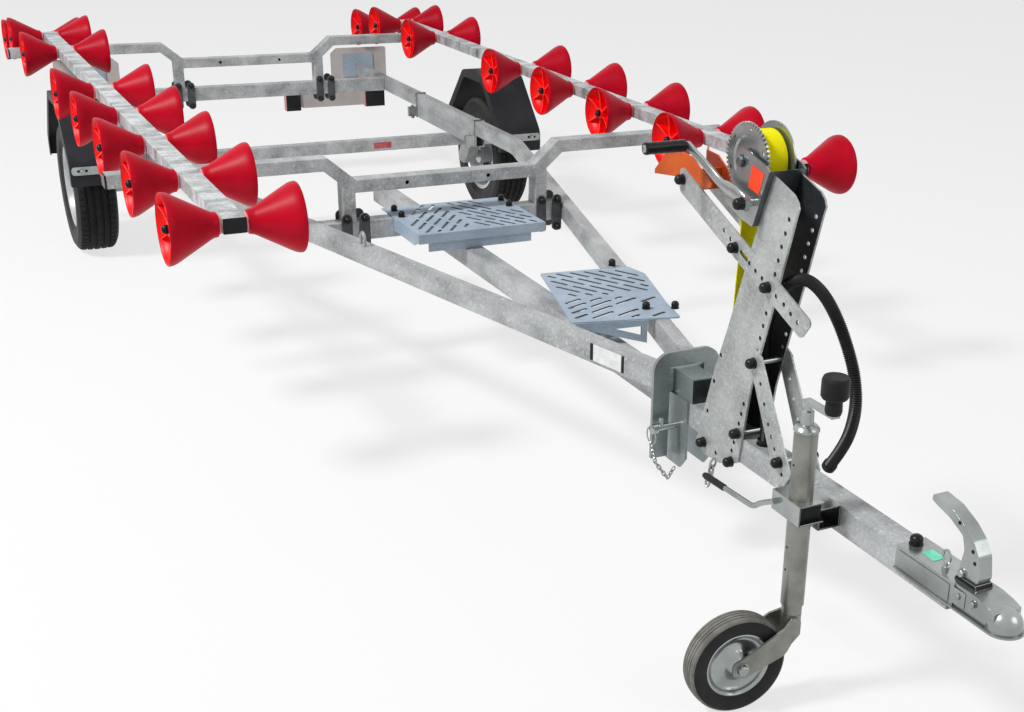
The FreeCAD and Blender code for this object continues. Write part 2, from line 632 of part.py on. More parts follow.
WINCH_LOW, WINCH_TOP = 912, 1036
base_low, base_top = post_edge_x(WINCH_LOW), post_edge_x(WINCH_TOP)
winch_side = [(base_low - WINCH_T, WINCH_LOW), (base_low, WINCH_LOW), (base_top, WINCH_TOP),
              (2134, 1045), (2062, 1061), (2036, 1062), (2022, 1048), (2026, 1020),
              (1992, 950), (1998, 936), (2056, 918)]
frame = prism([(base_low - WINCH_T, WINCH_LOW), (base_low, WINCH_LOW), (base_top, WINCH_TOP),
               (base_top - WINCH_T, WINCH_TOP)], "y", *frame_y)
for y0 in (frame_y[0], WINCH_IN[1]):
    frame = frame.fuse(prism(winch_side, "y", y0, y0 + WINCH_T, {3: 8, 4: 12, 5: 10, 6: 10, 8: 8}))
frame = frame.cut(rod((CRANK_X, -60, CRANK_Z), Y, WINCH_SHAFT_R + RUNNING, 120))
frame = frame.fuse(rod((GEAR_X, frame_y[0] - 6, GEAR_Z), Y, WINCH_SHAFT_R,
                       frame_y[1] - frame_y[0] + 12))
save("winch_frame", frame)

DRUM_R = 30
drum_bore = WINCH_SHAFT_R + RUNNING
drum = spun([(drum_bore, -40), (gear_r + MODULE * 0.9, -40), (gear_r + MODULE * 0.9, -34),
             (DRUM_R, -34), (DRUM_R, 26), (FLANGE_R, 26), (FLANGE_R, 30), (drum_bore, 30)],
            (GEAR_X, 0, GEAR_Z), Y)
tooth_depth = MODULE * 2.2
for i in range(GEAR_TEETH):
    a = 360 / GEAR_TEETH * i
    gap = prism([(gear_r - MODULE * 1.25, -0.8), (gear_r + 4, -3.2), (gear_r + 4, 3.2),
                 (gear_r - MODULE * 1.25, 0.8)], "y", -41, -33)
    gap.rotate(V(0, 0, 0), Y, a)
    drum = drum.cut(moved(gap, GEAR_X, 0, GEAR_Z))
save("winch_drum", drum)
STRAP_R = 62
save("winch_strap", spun([(DRUM_R, -30), (STRAP_R, -30), (STRAP_R, 20), (DRUM_R, 20)],
                         (GEAR_X, 0, GEAR_Z), Y))

HUB_Y = -76          # outer end of the crank shaft
crank = rod((CRANK_X, HUB_Y, CRANK_Z), Y, WINCH_SHAFT_R, frame_y[1] + 6 - HUB_Y)
pinion = spun([(0, -41), (pinion_r - MODULE, -41), (pinion_r - MODULE, -33), (0, -33)],
              (CRANK_X, 0, CRANK_Z), Y)
crank = crank.fuse(pinion)
ARM_T, JOGGLE = 8, 7  # thickness of the crank arm, step between its two halves
GRIP_X, GRIP_Z, GRIP_R, GRIP_L = 1870, 1037, 13.5, 100
hub_arm = (HUB_Y + 2, HUB_Y + 2 + ARM_T)
grip_arm = (hub_arm[0] - JOGGLE, hub_arm[1] - JOGGLE)
crank = crank.fuse(prism(
    [(CRANK_X + 13, CRANK_Z - 13), (CRANK_X + 13, CRANK_Z + 15), (2026, 987), (1990, 1009),
     (1972, 986), (2000, 964)], "y", *hub_arm, {0: 6, 1: 6, 2: 30, 5: 30}))
crank = crank.fuse(prism(
    [(GRIP_X - 12, GRIP_Z - 6), (1979, 973), (2006, 985), (1998, 1003), (GRIP_X + 8, GRIP_Z + 15),
     (GRIP_X - 12, GRIP_Z + 15)], "y", *grip_arm, {0: 7, 4: 7, 5: 7}))
crank = crank.fuse(rod((GRIP_X, grip_arm[0] - 10, GRIP_Z), Y, 7, 14))
crank = crank.fuse(rod((GRIP_X, grip_arm[0] - 2 - GRIP_L, GRIP_Z), Y, GRIP_R, GRIP_L))
save("winch_crank", crank)

# ---------------------------------------------------------------- coupling
HOUSING_X, HOUSING_Z, HOUSING_HALF = (2632, 2797), (382, 431), 34
NECK_HALF, NECK_LOW = 31, 388
body = box(*HOUSING_X, -HOUSING_HALF, HOUSING_HALF, *HOUSING_Z).cut(
    box(HOUSING_X[0] - 1, HOUSING_X[1] + 1, -STUB_HALF, STUB_HALF, DRAW_Z, BED_Z))
neck = prism([(2785, NECK_LOW), (2900, NECK_LOW), (2900, 421), (2880, 427),
              (2850, HOUSING_Z[1]), (2785, HOUSING_Z[1])], "y", -NECK_HALF, NECK_HALF)
skirt = 10


def dome(radius, depth, flat=5):
    """Ball top with a small flat on its crown and a straight skirt below its middle."""
    crown = math.sqrt(radius ** 2 - flat ** 2)
    half = math.atan2(crown, flat) / 2
    face = Part.Face(Part.Wire([
        Part.makeLine(V(0, 0, -depth), V(radius, 0, -depth)),
        Part.makeLine(V(radius, 0, -depth), V(radius, 0, 0)),
        Part.Arc(V(radius, 0, 0), V(radius * math.cos(half), 0, radius * math.sin(half)),
                 V(flat, 0, crown)).toShape(),
        Part.makeLine(V(flat, 0, crown), V(0, 0, crown)),
        Part.makeLine(V(0, 0, crown), V(0, 0, -depth)),
    ]))
    return moved(face.revolve(V(0, 0, 0), Z, 360), BALL_X, 0, BALL_Z)


nose = dome(NOSE_R, skirt)
cup = dome(BALL_R + 0.5, skirt + 1)
lip = box(HOUSING_X[0], BALL_X, -LIP_R, LIP_R, BALL_Z - skirt, BALL_Z - skirt + LIP_T)
lip = lip.fuse(rod((BALL_X, 0, BALL_Z - skirt), Z, LIP_R, LIP_T))
lip = lip.cut(box(HOUSING_X[0] - 1, HOUSING_X[1] + 1, -STUB_HALF, STUB_HALF, DRAW_Z, BED_Z))
body = body.fuse(neck).fuse(nose).fuse(lip)
body = body.cut(box(2784, BALL_X - 10, 4 - NECK_HALF, NECK_HALF - 4, 380, BED_Z - 4))
body = body.cut(cup)
save("coupling_body", body.removeSplitter())
HANDLE_HALF = 15
handle = prism(
    [(2786, HOUSING_Z[1]), (2827, HOUSING_Z[1]), (2836, 452), (2829, 492), (2812, 516),
     (2785, 536), (2742, 555), (2694, 561), (2692, 548), (2706, 543), (2743, 534),
     (2782, 516), (2790, 491), (2783, 449)],
    "y", -HANDLE_HALF, HANDLE_HALF, {2: 12, 3: 25, 4: 30, 5: 30, 6: 40, 7: 5, 8: 5, 10: 30, 11: 14, 12: 14})
save("coupling_handle", handle)

# ---------------------------------------------------------------- jockey stand
TUBE_Z = (218, 600)
CLAMP_X0, CLAMP_X1, CLAMP_OUT, CLAMP_IN = 2372, 2469, -144, -84
CLAMP_LOW, CLAMP_HIGH, CLAMP_WALL = 411, 455, 3.5
clamp = box(CLAMP_X0, CLAMP_X1, CLAMP_OUT, CLAMP_IN, CLAMP_LOW, CLAMP_HIGH)
clamp = clamp.cut(box(CLAMP_X1 - 11, CLAMP_X1 + 1, CLAMP_OUT + CLAMP_WALL, CLAMP_IN + 1,
                      CLAMP_LOW + CLAMP_WALL, CLAMP_HIGH - CLAMP_WALL))
clamp = clamp.cut(rod((JOCKEY_X, JOCKEY_Y, CLAMP_LOW - 10), Z, JOCKEY_TUBE_R, 80))
clamp = clamp.fuse(square_tube(2386, 2452, CLAMP_IN, -STUB_HALF, 383, 430, "x", CLAMP_WALL))
LEVER_R = 6
LEVER_Y = -150
lever = cord("clamp lever", [(2393, LEVER_Y, 437), (2344, LEVER_Y, 411), (2318, LEVER_Y, 391),
                             (2128, LEVER_Y, 380)], 2 * LEVER_R)
save("jockey_clamp", clamp.fuse(lever))
tube = rod((JOCKEY_X, JOCKEY_Y, TUBE_Z[0]), Z, JOCKEY_TUBE_R, TUBE_Z[1] - TUBE_Z[0]).cut(
    rod((JOCKEY_X, JOCKEY_Y, TUBE_Z[0] - 1), Z, JOCKEY_STEM_R, TUBE_Z[1] - TUBE_Z[0] + 2))
save("jockey_tube", tube)
top = stack([(26, TUBE_Z[1]), (26, 605), (21, 611), (13, 614), (12.5, 640), (8, 643), (8, 656)],
            JOCKEY_X, JOCKEY_Y)
ARM_Z, GRIP_OFF = (656, 663), 78
top = top.fuse(box(JOCKEY_X - 10, JOCKEY_X + GRIP_OFF + 10, JOCKEY_Y - 10, JOCKEY_Y + 10,
                   *ARM_Z))
top = top.fuse(stack([(15, ARM_Z[1]), (17, 670), (16, 690), (24, 695), (27, 700), (27, 731),
                      (24, 738)], JOCKEY_X + GRIP_OFF, JOCKEY_Y))
save("jockey_head", top)

STEM_Z = (198, 560)
swivel_r = 12
stem = rod((JOCKEY_X, JOCKEY_Y, STEM_Z[0]), Z, JOCKEY_STEM_R - RUNNING, STEM_Z[1] - STEM_Z[0])
stem = stem.cut(rod((JOCKEY_X, JOCKEY_Y, STEM_Z[0] - 1), Z, swivel_r + RUNNING, 14))
save("jockey_stem", stem)


def castor(shape):
    """Turn a piece of the castor about the stem to its parked heading."""
    copy = shape.copy()
    copy.rotate(V(JOCKEY_X, JOCKEY_Y, 0), Z, CASTOR_YAW)
    return copy


wheel_y = JOCKEY_Y - JOCKEY_TRAIL
AXLE_R = 8
FORK_IN, FORK_T = JOCKEY_WHEEL_W / 2 + 6, 5
FORK_LOW = 150
fork_out = FORK_IN + FORK_T
fork = rod((JOCKEY_X, JOCKEY_Y, STEM_Z[0] - 2), Z, swivel_r, 10)
fork = fork.fuse(rod((JOCKEY_X, JOCKEY_Y, FORK_LOW), Z, JOCKEY_STEM_R, STEM_Z[0] - 1 - FORK_LOW))
leg_side = [
    (JOCKEY_Y + 10, 155), (JOCKEY_Y + 10, 190), (JOCKEY_Y - 8, 196), (JOCKEY_Y - 36, 180),
    (wheel_y + 6, JOCKEY_WHEEL_R + 24), (wheel_y - 20, JOCKEY_WHEEL_R + 12),
    (wheel_y - 20, JOCKEY_WHEEL_R - 16), (wheel_y + 10, JOCKEY_WHEEL_R - 21),
    (JOCKEY_Y - 20, 124),
]
leg_side = prism(leg_side[::-1], "x", JOCKEY_X - 60, JOCKEY_X + 60,
                 {8: 10, 7: 12, 6: 12, 5: 30, 4: 16, 3: 12, 2: 12, 1: 16, 0: 20})
root = JOCKEY_STEM_R - 1
for side in (-1, 1):
    plan = [(root, 12), (root + FORK_T, 12), (root + FORK_T, -9), (fork_out, -31),
            (fork_out, -150), (FORK_IN, -150), (FORK_IN, -32), (root, -10)]
    plan = [(JOCKEY_X + side * x, JOCKEY_Y + y) for x, y in plan]
    fork = fork.fuse(prism(plan, "z", 80, 210).common(leg_side))
fork = fork.fuse(rod((JOCKEY_X - fork_out - 6, wheel_y, JOCKEY_WHEEL_R), X, AXLE_R,
                     2 * fork_out + 12))
save("jockey_fork", castor(fork))
half_w = JOCKEY_WHEEL_W / 2
r = JOCKEY_WHEEL_R
jockey_tyre = spun([(70, -half_w + 4), (r - 16, -half_w), (r - 4, -half_w + 5), (r, -half_w + 14),
                    (r, half_w - 14), (r - 4, half_w - 5), (r - 16, half_w), (70, half_w - 4)],
                   (JOCKEY_X, wheel_y, r), X)
jockey_rim = spun([(AXLE_R + RUNNING, -30), (20, -30), (20, -5), (60, -5), (66, -19), (70, -19),
                   (70, 19), (66, 19), (60, 5), (20, 5), (20, 30), (AXLE_R + RUNNING, 30)],
                  (JOCKEY_X, wheel_y, r), X)
save("jockey_wheel", castor(jockey_tyre.fuse(jockey_rim)))


# ---------------------------------------------------------------- hose, strap and rear cables
HOSE_D = 26
HOSE = [
    (2128, 0, 428), (2128, 0, 480), (2112, 0, 540), (2100, 0, 600), (2098, 0, 660),
    (2110, 0, 720), (2138, 0, 775), (2180, 0, 813), (2232, 0, 834), (2290, 0, 822),
    (2340, 0, 788), (2382, 0, 742), (2416, 0, 690), (2430, 0, 630), (2420, 0, 570),
    (2394, 0, 518), (2366, 0, 478),
]
save("hose", cord("hose", HOSE, HOSE_D))
gland = rod((2128, 0, BED_Z), Z, 19, 2).fuse(rod((2128, 0, BED_Z), Z, 17, 12)).cut(
    rod((2128, 0, BED_Z + 2), Z, HOSE_D / 2 + 1, 20))
end_axis = V(-28, 0, -40)
end_axis.normalize()
end = rod(HOSE[-1], end_axis, HOSE_D / 2 + 2, 12)
save("hose_ends", gland, end)

TAIL_W, TAIL_T = 45, 3
tail_line = [(1985.2, 1018), (2012, 888), (2012, 850), (2006, 775), (2003, 728), (1996, 640),
             (1984, 520), (1978, BED_Z)]
tail_side = tail_line + [(x + TAIL_T, z) for x, z in reversed(tail_line)]
save("strap_tail", prism(tail_side, "y", -TAIL_W / 2, TAIL_W / 2))
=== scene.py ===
import json
import math
import random

import bmesh
import bpy
from mathutils import Matrix, Vector


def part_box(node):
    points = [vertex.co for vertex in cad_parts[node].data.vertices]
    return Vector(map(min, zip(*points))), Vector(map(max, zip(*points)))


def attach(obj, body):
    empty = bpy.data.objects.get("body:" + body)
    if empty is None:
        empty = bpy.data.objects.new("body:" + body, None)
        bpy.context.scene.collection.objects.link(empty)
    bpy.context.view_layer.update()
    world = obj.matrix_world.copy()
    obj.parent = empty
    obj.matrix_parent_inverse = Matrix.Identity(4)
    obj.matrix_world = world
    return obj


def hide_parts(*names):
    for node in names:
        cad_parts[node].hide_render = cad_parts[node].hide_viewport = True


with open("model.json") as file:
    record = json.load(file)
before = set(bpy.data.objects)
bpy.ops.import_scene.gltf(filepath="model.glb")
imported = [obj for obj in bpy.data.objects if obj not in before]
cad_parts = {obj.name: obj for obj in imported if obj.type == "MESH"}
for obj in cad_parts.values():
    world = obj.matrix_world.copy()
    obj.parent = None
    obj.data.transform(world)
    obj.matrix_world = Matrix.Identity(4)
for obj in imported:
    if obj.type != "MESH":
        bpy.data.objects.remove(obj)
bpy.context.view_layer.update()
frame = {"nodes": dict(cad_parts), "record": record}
random.seed(4)
MM = 0.001
X, Y, Z = Vector((1, 0, 0)), Vector((0, 1, 0)), Vector((0, 0, 1))
SCENE = bpy.context.scene

# ---------------------------------------------------------------- camera
EYE = Vector((4.4168, -1.5926, 1.6490))
YAW, PITCH, ROLL = (math.radians(a) for a in (151.2999, -22.6572, 1.7563))
LENS, SHIFT = 48.646, (-0.1150, 0.0548)

ahead = Vector((math.cos(YAW) * math.cos(PITCH), math.sin(YAW) * math.cos(PITCH),
                math.sin(PITCH)))
level = ahead.cross(Z).normalized()
over = level.cross(ahead)
across = level * math.cos(ROLL) + over * math.sin(ROLL)
upward = over * math.cos(ROLL) - level * math.sin(ROLL)
camera = bpy.data.objects.new("camera", bpy.data.cameras.new("camera"))
camera.matrix_world = Matrix((
    (across.x, upward.x, -ahead.x, EYE.x), (across.y, upward.y, -ahead.y, EYE.y),
    (across.z, upward.z, -ahead.z, EYE.z), (0, 0, 0, 1)))
camera.data.lens = LENS
camera.data.sensor_width = 36
camera.data.shift_x, camera.data.shift_y = SHIFT
camera.data.clip_end = 100
SCENE.collection.objects.link(camera)
SCENE.camera = camera


# ---------------------------------------------------------------- materials
class Look:
    """A node material while it is put together."""

    def __init__(self, name, **sockets):
        self.mat = bpy.data.materials.new(name)
        self.mat.use_nodes = True
        self.shader = self.mat.node_tree.nodes["Principled BSDF"]
        for key, value in sockets.items():
            self.shader.inputs[key.replace("_", " ")].default_value = value
        self.where = self.add("TexCoord").outputs["Object"]

    def add(self, kind, inputs=None, **settings):
        """New node; each input is a value or the socket that feeds it."""
        node = self.mat.node_tree.nodes.new("ShaderNode" + kind)
        for key, value in settings.items():
            setattr(node, key, value)
        for key, value in (inputs or {}).items():
            if isinstance(value, bpy.types.NodeSocket):
                self.mat.node_tree.links.new(value, node.inputs[key])
            else:
                node.inputs[key].default_value = value
        return node

    def math(self, kind, a, b):
        return self.add("Math", {0: a, 1: b}, operation=kind).outputs[0]

    def noise(self, size, detail=4.0, stretch=None):
        """Cloudy value from 0 to 1, size in metres."""
        where = self.where
        if stretch:
            where = self.add("Mapping", {"Vector": where, "Scale": stretch}).outputs[0]
        return self.add("TexNoise", {"Vector": where, "Scale": 1 / size,
                                     "Detail": detail}).outputs["Fac"]

    def ramp(self, source, *stops):
        """Colour from a value, by (value, colour) stops."""
        node = self.add("ValToRGB", {"Fac": source})
        points = node.color_ramp.elements
        while len(points) < len(stops):
            points.new(0.5)
        for point, (place, colour) in zip(points, stops):
            point.position = place
            point.color = (*colour, 1)
        return node.outputs["Color"]

    def spread(self, source, low, high):
        """Value from 0 to 1 turned into a value from low to high."""
        return self.add("MapRange", {"Value": source, "To Min": low,
                                     "To Max": high}).outputs[0]

    def feed(self, socket, source):
        self.mat.node_tree.links.new(source, self.shader.inputs[socket])

    def bump(self, height, depth, strength):
        node = self.add("Bump", {"Height": height, "Distance": depth, "Strength": strength})
        self.feed("Normal", node.outputs["Normal"])


def metal(name, dark, light, cell, patch, metallic, rough, depth, warp, spangle,
          streaks=None, flecks=0.0):
    """Metal with crystal cells and cloudy patches, both in metres.

    Warp bends the cells, spangle is their share of the pattern, streaks stretches the
    patches and flecks brightens small spots.
    """
    look = Look(name, Metallic=metallic)
    where = look.where
    if warp:
        shift = look.add("TexNoise", {"Vector": where, "Scale": 1 / cell / 2.5}).outputs["Color"]
        where = look.add("VectorMath", {0: where, 1: look.add(
            "VectorMath", {0: shift, "Scale": warp}, operation="SCALE").outputs[0]},
            operation="ADD").outputs[0]
    cells = look.add("TexVoronoi", {"Vector": where, "Scale": 1 / cell})
    pick = look.add("SeparateColor", {"Color": cells.outputs["Color"]}).outputs[0]
    cloud = look.noise(patch, 6, streaks)
    both = look.math("ADD", look.math("MULTIPLY", pick, spangle),
                     look.math("MULTIPLY", cloud, 1.2 - spangle))
    if flecks:
        spots = look.noise(cell * 1.6, 3)
        spots = look.spread(look.math("GREATER_THAN", spots, 0.63), 0.0, flecks)
        both = look.math("ADD", both, spots)
    middle = [(a + b) / 2 for a, b in zip(dark, light)]
    look.feed("Base Color", look.ramp(both, (0.30, dark), (0.60, middle), (0.92, light)))
    look.feed("Roughness", look.spread(both, rough[1], rough[0]))
    look.bump(look.math("ADD", look.math("MULTIPLY", pick, 0.6), look.noise(cell / 3)),
              depth, 0.35)
    return look.mat


def moulded(name, dark, light, grain, rough, patch=0.08, depth=0.0002, metallic=0.0, coat=0.0,
            gloss=0.22):
    """Moulded or painted surface with a fine grain and slow changes of shade."""
    look = Look(name, Metallic=metallic, Coat_Weight=coat, Coat_Roughness=0.12,
                Specular_IOR_Level=gloss)
    cloud = look.noise(patch, 3)
    look.feed("Base Color", look.ramp(cloud, (0.35, dark), (0.65, light)))
    look.feed("Roughness", look.spread(look.noise(patch / 4, 5), rough[0], rough[1]))
    look.bump(look.noise(grain, 2), depth, 0.4)
    return look.mat


galvanised = metal("galvanised", (0.235, 0.25, 0.245), (0.50, 0.525, 0.52), 0.0055, 0.10,
                   0.38, (0.36, 0.54), 0.0003, 0.006, 0.22, flecks=0.26)
beam_zinc = metal("beam_zinc", (0.19, 0.20, 0.205), (0.56, 0.585, 0.59), 0.0055, 0.16,
                  0.28, (0.42, 0.56), 0.0002, 0.006, 0.16, (1.0, 2.2, 2.2), 0.22)
# rail zinc: mottling of the metal, with wide light and dark streaks in its colour as painted
# reflections
rail_zinc_painted_reflections = metal("rail_zinc_painted_reflections", (0.10, 0.115, 0.12), (0.80, 0.83, 0.84), 0.007, 0.085,
                  0.25, (0.44, 0.58), 0.0002, 0.008, 0.16, (1.6, 0.8, 1.0))
plate_zinc = metal("plate_zinc", (0.25, 0.33, 0.41), (0.42, 0.51, 0.60), 0.007, 0.12,
                   0.15, (0.52, 0.64), 0.0002, 0.006, 0.15)
head_zinc = metal("head_zinc", (0.15, 0.175, 0.18), (0.33, 0.37, 0.375), 0.006, 0.14,
                  0.60, (0.30, 0.42), 0.0002, 0.005, 0.12)
shaded_zinc = metal("shaded_zinc", (0.016, 0.019, 0.023), (0.050, 0.056, 0.064), 0.008, 0.06,
                    0.4, (0.45, 0.6), 0.0003, 0.008, 0.2)
bright_zinc = metal("bright_zinc", (0.22, 0.245, 0.24), (0.44, 0.47, 0.46), 0.004, 0.10,
                    0.85, (0.18, 0.30), 0.00006, 0, 0.06)
dull_zinc = metal("dull_zinc", (0.15, 0.155, 0.135), (0.30, 0.305, 0.275), 0.004, 0.06,
                  0.80, (0.28, 0.42), 0.00006, 0, 0.06)
# dark zinc on the winch nuts, and painted shade on hole and slot walls, between gear teeth and on
# faces in shade
dark_zinc_and_painted_shade = metal("dark_zinc_and_painted_shade", (0.075, 0.085, 0.09), (0.16, 0.18, 0.19), 0.004, 0.05,
                  0.75, (0.28, 0.40), 0.00006, 0, 0.06)
red_cone = moulded("red_cone", (0.40, 0.001, 0.012), (0.50, 0.002, 0.017), 0.0012,
                   (0.34, 0.44), 0.10, 0.00008, gloss=0.10)
# the cones' own red plastic, painted much lighter inside the hollow as painted sunlight
red_hollow_painted_light = moulded("red_hollow_painted_light", (0.80, 0.001, 0.002), (0.92, 0.004, 0.004), 0.0015,
                     (0.34, 0.46), 0.06, 0.00008)
# the same red plastic, paler and pinker on the ribs' outer edges as a painted highlight
red_rib_painted_highlight = moulded("red_rib_painted_highlight", (0.90, 0.10, 0.09), (0.95, 0.20, 0.18), 0.001, (0.32, 0.42))
pink_washer = moulded("pink_washer", (0.78, 0.22, 0.27), (0.86, 0.34, 0.38), 0.001, (0.3, 0.4))
black_cap = moulded("black_cap", (0.004, 0.004, 0.0045), (0.010, 0.010, 0.011), 0.0012,
                    (0.24, 0.36), 0.03)
matt_black = moulded("matt_black", (0.005, 0.005, 0.0055), (0.012, 0.012, 0.013), 0.0014,
                     (0.45, 0.62), 0.04, 0.0004)
hose_black = moulded("hose_black", (0.006, 0.006, 0.0065), (0.012, 0.012, 0.013), 0.002,
                     (0.32, 0.44), 0.05, 0.0001)
fender_black = moulded("fender_black", (0.010, 0.010, 0.013), (0.020, 0.019, 0.024), 0.0009,
                       (0.40, 0.55), 0.12, 0.0003)
# the fender's own black, painted a little lighter on its sides as a painted reflection of the sky
fender_painted_reflection = moulded("fender_painted_reflection", (0.014, 0.015, 0.017), (0.028, 0.029, 0.032), 0.0009,
                      (0.45, 0.6), 0.12, 0.0003)
clamp_grey = moulded("clamp_grey", (0.055, 0.06, 0.065), (0.09, 0.095, 0.10), 0.001,
                     (0.35, 0.48), 0.03)
tread_black = moulded("tread_black", (0.005, 0.005, 0.005), (0.011, 0.011, 0.011), 0.0016,
                      (0.62, 0.8), 0.05, 0.0006)
side_black = moulded("side_black", (0.016, 0.016, 0.017), (0.032, 0.031, 0.030), 0.002,
                     (0.5, 0.7), 0.07, 0.0004)
jockey_tread = moulded("jockey_tread", (0.13, 0.125, 0.11), (0.22, 0.215, 0.195), 0.0014,
                       (0.7, 0.85), 0.03, 0.0005)
jockey_side = moulded("jockey_side", (0.010, 0.010, 0.010), (0.020, 0.019, 0.019), 0.0014,
                      (0.5, 0.65), 0.04, 0.0003)
wheel_silver = moulded("wheel_silver", (0.44, 0.455, 0.47), (0.58, 0.60, 0.61), 0.001,
                       (0.26, 0.38), 0.07, 0.0001, metallic=0.65)
orange_paint = moulded("orange_paint", (0.48, 0.075, 0.010), (0.58, 0.10, 0.014), 0.0012,
                       (0.34, 0.46), 0.05, 0.0001, coat=0.2)
# the same orange paint, darker as painted shade on the inner faces of the bow bracket
orange_painted_shade = moulded("orange_painted_shade", (0.20, 0.022, 0.006), (0.28, 0.034, 0.008), 0.0012,
                        (0.4, 0.5), 0.05, 0.0001)
board_grey = moulded("board_grey", (0.47, 0.435, 0.42), (0.56, 0.52, 0.50), 0.002,
                     (0.4, 0.5), 0.08)
lens_red = moulded("lens_red", (0.42, 0.008, 0.010), (0.60, 0.014, 0.014), 0.0009,
                   (0.16, 0.24), 0.03, 0.0001, coat=0.5)
label_red = moulded("label_red", (0.88, 0.045, 0.012), (0.94, 0.075, 0.02), 0.0008,
                    (0.3, 0.4), 0.03, 0.00005)
label_dark_red = moulded("label_dark_red", (0.42, 0.06, 0.07), (0.55, 0.12, 0.13), 0.0008,
                         (0.3, 0.4), 0.02, 0.00005)
label_silver = moulded("label_silver", (0.66, 0.68, 0.68), (0.80, 0.81, 0.80), 0.0008,
                       (0.3, 0.4), 0.02, 0.00005, metallic=0.3)
label_green = moulded("label_green", (0.10, 0.62, 0.40), (0.20, 0.74, 0.52), 0.0008,
                      (0.3, 0.4), 0.015, 0.00005)


def woven():
    """Yellow webbing with a rib across its width."""
    look = Look("webbing", Specular_IOR_Level=0.15)
    ribs = look.add("TexWave", {"Vector": look.where, "Scale": 260.0, "Distortion": 0.4},
                    bands_direction="Y").outputs["Fac"]
    cross = look.add("TexWave", {"Vector": look.where, "Scale": 190.0, "Distortion": 0.6},
                     bands_direction="Z").outputs["Fac"]
    weave = look.math("MULTIPLY", ribs, cross)
    tint = look.math("ADD", look.math("MULTIPLY", weave, 0.5),
                     look.math("MULTIPLY", look.noise(0.03), 0.5))
    look.feed("Base Color", look.ramp(tint, (0.15, (0.86, 0.74, 0.001)),
                                      (0.60, (1.0, 0.92, 0.004))))
    look.feed("Roughness", look.spread(weave, 0.75, 0.55))
    look.bump(weave, 0.0006, 0.5)
    return look.mat


webbing = woven()


# ---------------------------------------------------------------- mesh helpers
node_body = {n: body for body, names in frame["record"]["behaviour"]["bodies"].items()
             for n in names}


def finish_piece(name, bm, mats, body, replaces=(), angle=32, weighted=True):
    """Piece that rides on a body, with its edges kept sharp above an angle in degrees."""
    bmesh.ops.recalc_face_normals(bm, faces=bm.faces)
    for face in bm.faces:
        face.smooth = True
    for edge in bm.edges:
        if len(edge.link_faces) == 2:
            edge.smooth = edge.calc_face_angle(0) < math.radians(angle)
    mesh = bpy.data.meshes.new(name)
    bm.to_mesh(mesh)
    bm.free()
    for mat in mats:
        mesh.materials.append(mat)
    obj = bpy.data.objects.new(name, mesh)
    SCENE.collection.objects.link(obj)
    if weighted:
        obj.modifiers.new("normals", "WEIGHTED_NORMAL").keep_sharp = True
    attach(obj, body)
    if replaces:
        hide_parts(*replaces)
    return obj


def middle_of(node):
    """Middle of a CAD node's box, in mm."""
    low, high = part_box(node)
    return Vector([(a + b) / 2 / MM for a, b in zip(low, high)])


def basis(axis):
    """Two directions square to an axis, the first one upwards where the axis is along Y."""
    axis = Vector(axis).normalized()
    side = axis.orthogonal().normalized()
    if abs(axis.y) > 0.99:
        side = Z.copy()
    return side, axis.cross(side), axis


def spoke(angle):
    """Unit vectors out along a spoke of a wheel about Y, and square to it."""
    c, s = math.cos(angle), math.sin(angle)
    return Vector((c, 0, s)), Vector((-s, 0, c))


def join(bm, one, two):
    """Band of faces between two rings."""
    for k in range(len(one)):
        j = (k + 1) % len(one)
        bm.faces.new((one[k], two[k], two[j], one[j]))


def lathe(bm, profile, centre, axis, sides, mats=None, wobble=None, closed=False):
    """Profile of (radius, distance) pairs in mm turned about an axis through a point in mm.

    Mats has one material index per band, wobble(row, i) is taken off a radius, and closed
    joins the last row to the first.
    """
    side, other, axis = basis(axis)
    centre = Vector(centre) * MM
    rings = []
    for row, (r, t) in enumerate(profile):
        if r <= 0:
            rings.append([bm.verts.new(centre + axis * t * MM)])
            continue
        ring = []
        for i in range(sides):
            a = 2 * math.pi * i / sides
            rr = r - (wobble(row, i) if wobble else 0)
            ring.append(bm.verts.new(
                centre + (side * math.cos(a) + other * math.sin(a)) * rr * MM + axis * t * MM))
        rings.append(ring)
    pairs = list(zip(rings, rings[1:])) + ([(rings[-1], rings[0])] if closed else [])
    for k, (a, b) in enumerate(pairs):
        for i in range(sides):
            j = (i + 1) % sides
            if len(a) == 1:
                face = bm.faces.new((a[0], b[i], b[j]))
            elif len(b) == 1:
                face = bm.faces.new((a[i], b[0], a[j]))
            else:
                face = bm.faces.new((a[i], b[i], b[j], a[j]))
            if mats:
                face.material_index = mats[k]


def slab(bm, corners, direction, thickness, mat, bevel=0.0):
    """Flat plate from corners in mm, thickened along a direction: two faces, then the sides."""
    up = Vector(direction).normalized() * thickness * MM
    low = [bm.verts.new(Vector(c) * MM) for c in corners]
    high = [bm.verts.new(v.co + up) for v in low]
    count = len(low)
    faces = [bm.faces.new(low[::-1]), bm.faces.new(high)]
    for i in range(count):
        faces.append(bm.faces.new((low[i], low[(i + 1) % count], high[(i + 1) % count],
                                   high[i])))
    for face in faces:
        face.material_index = mat
    if bevel:
        edges = {e for f in faces for e in f.edges}
        bmesh.ops.bevel(bm, geom=list(edges), offset=bevel * MM, segments=2, affect="EDGES",
                        clamp_overlap=True)
    return faces


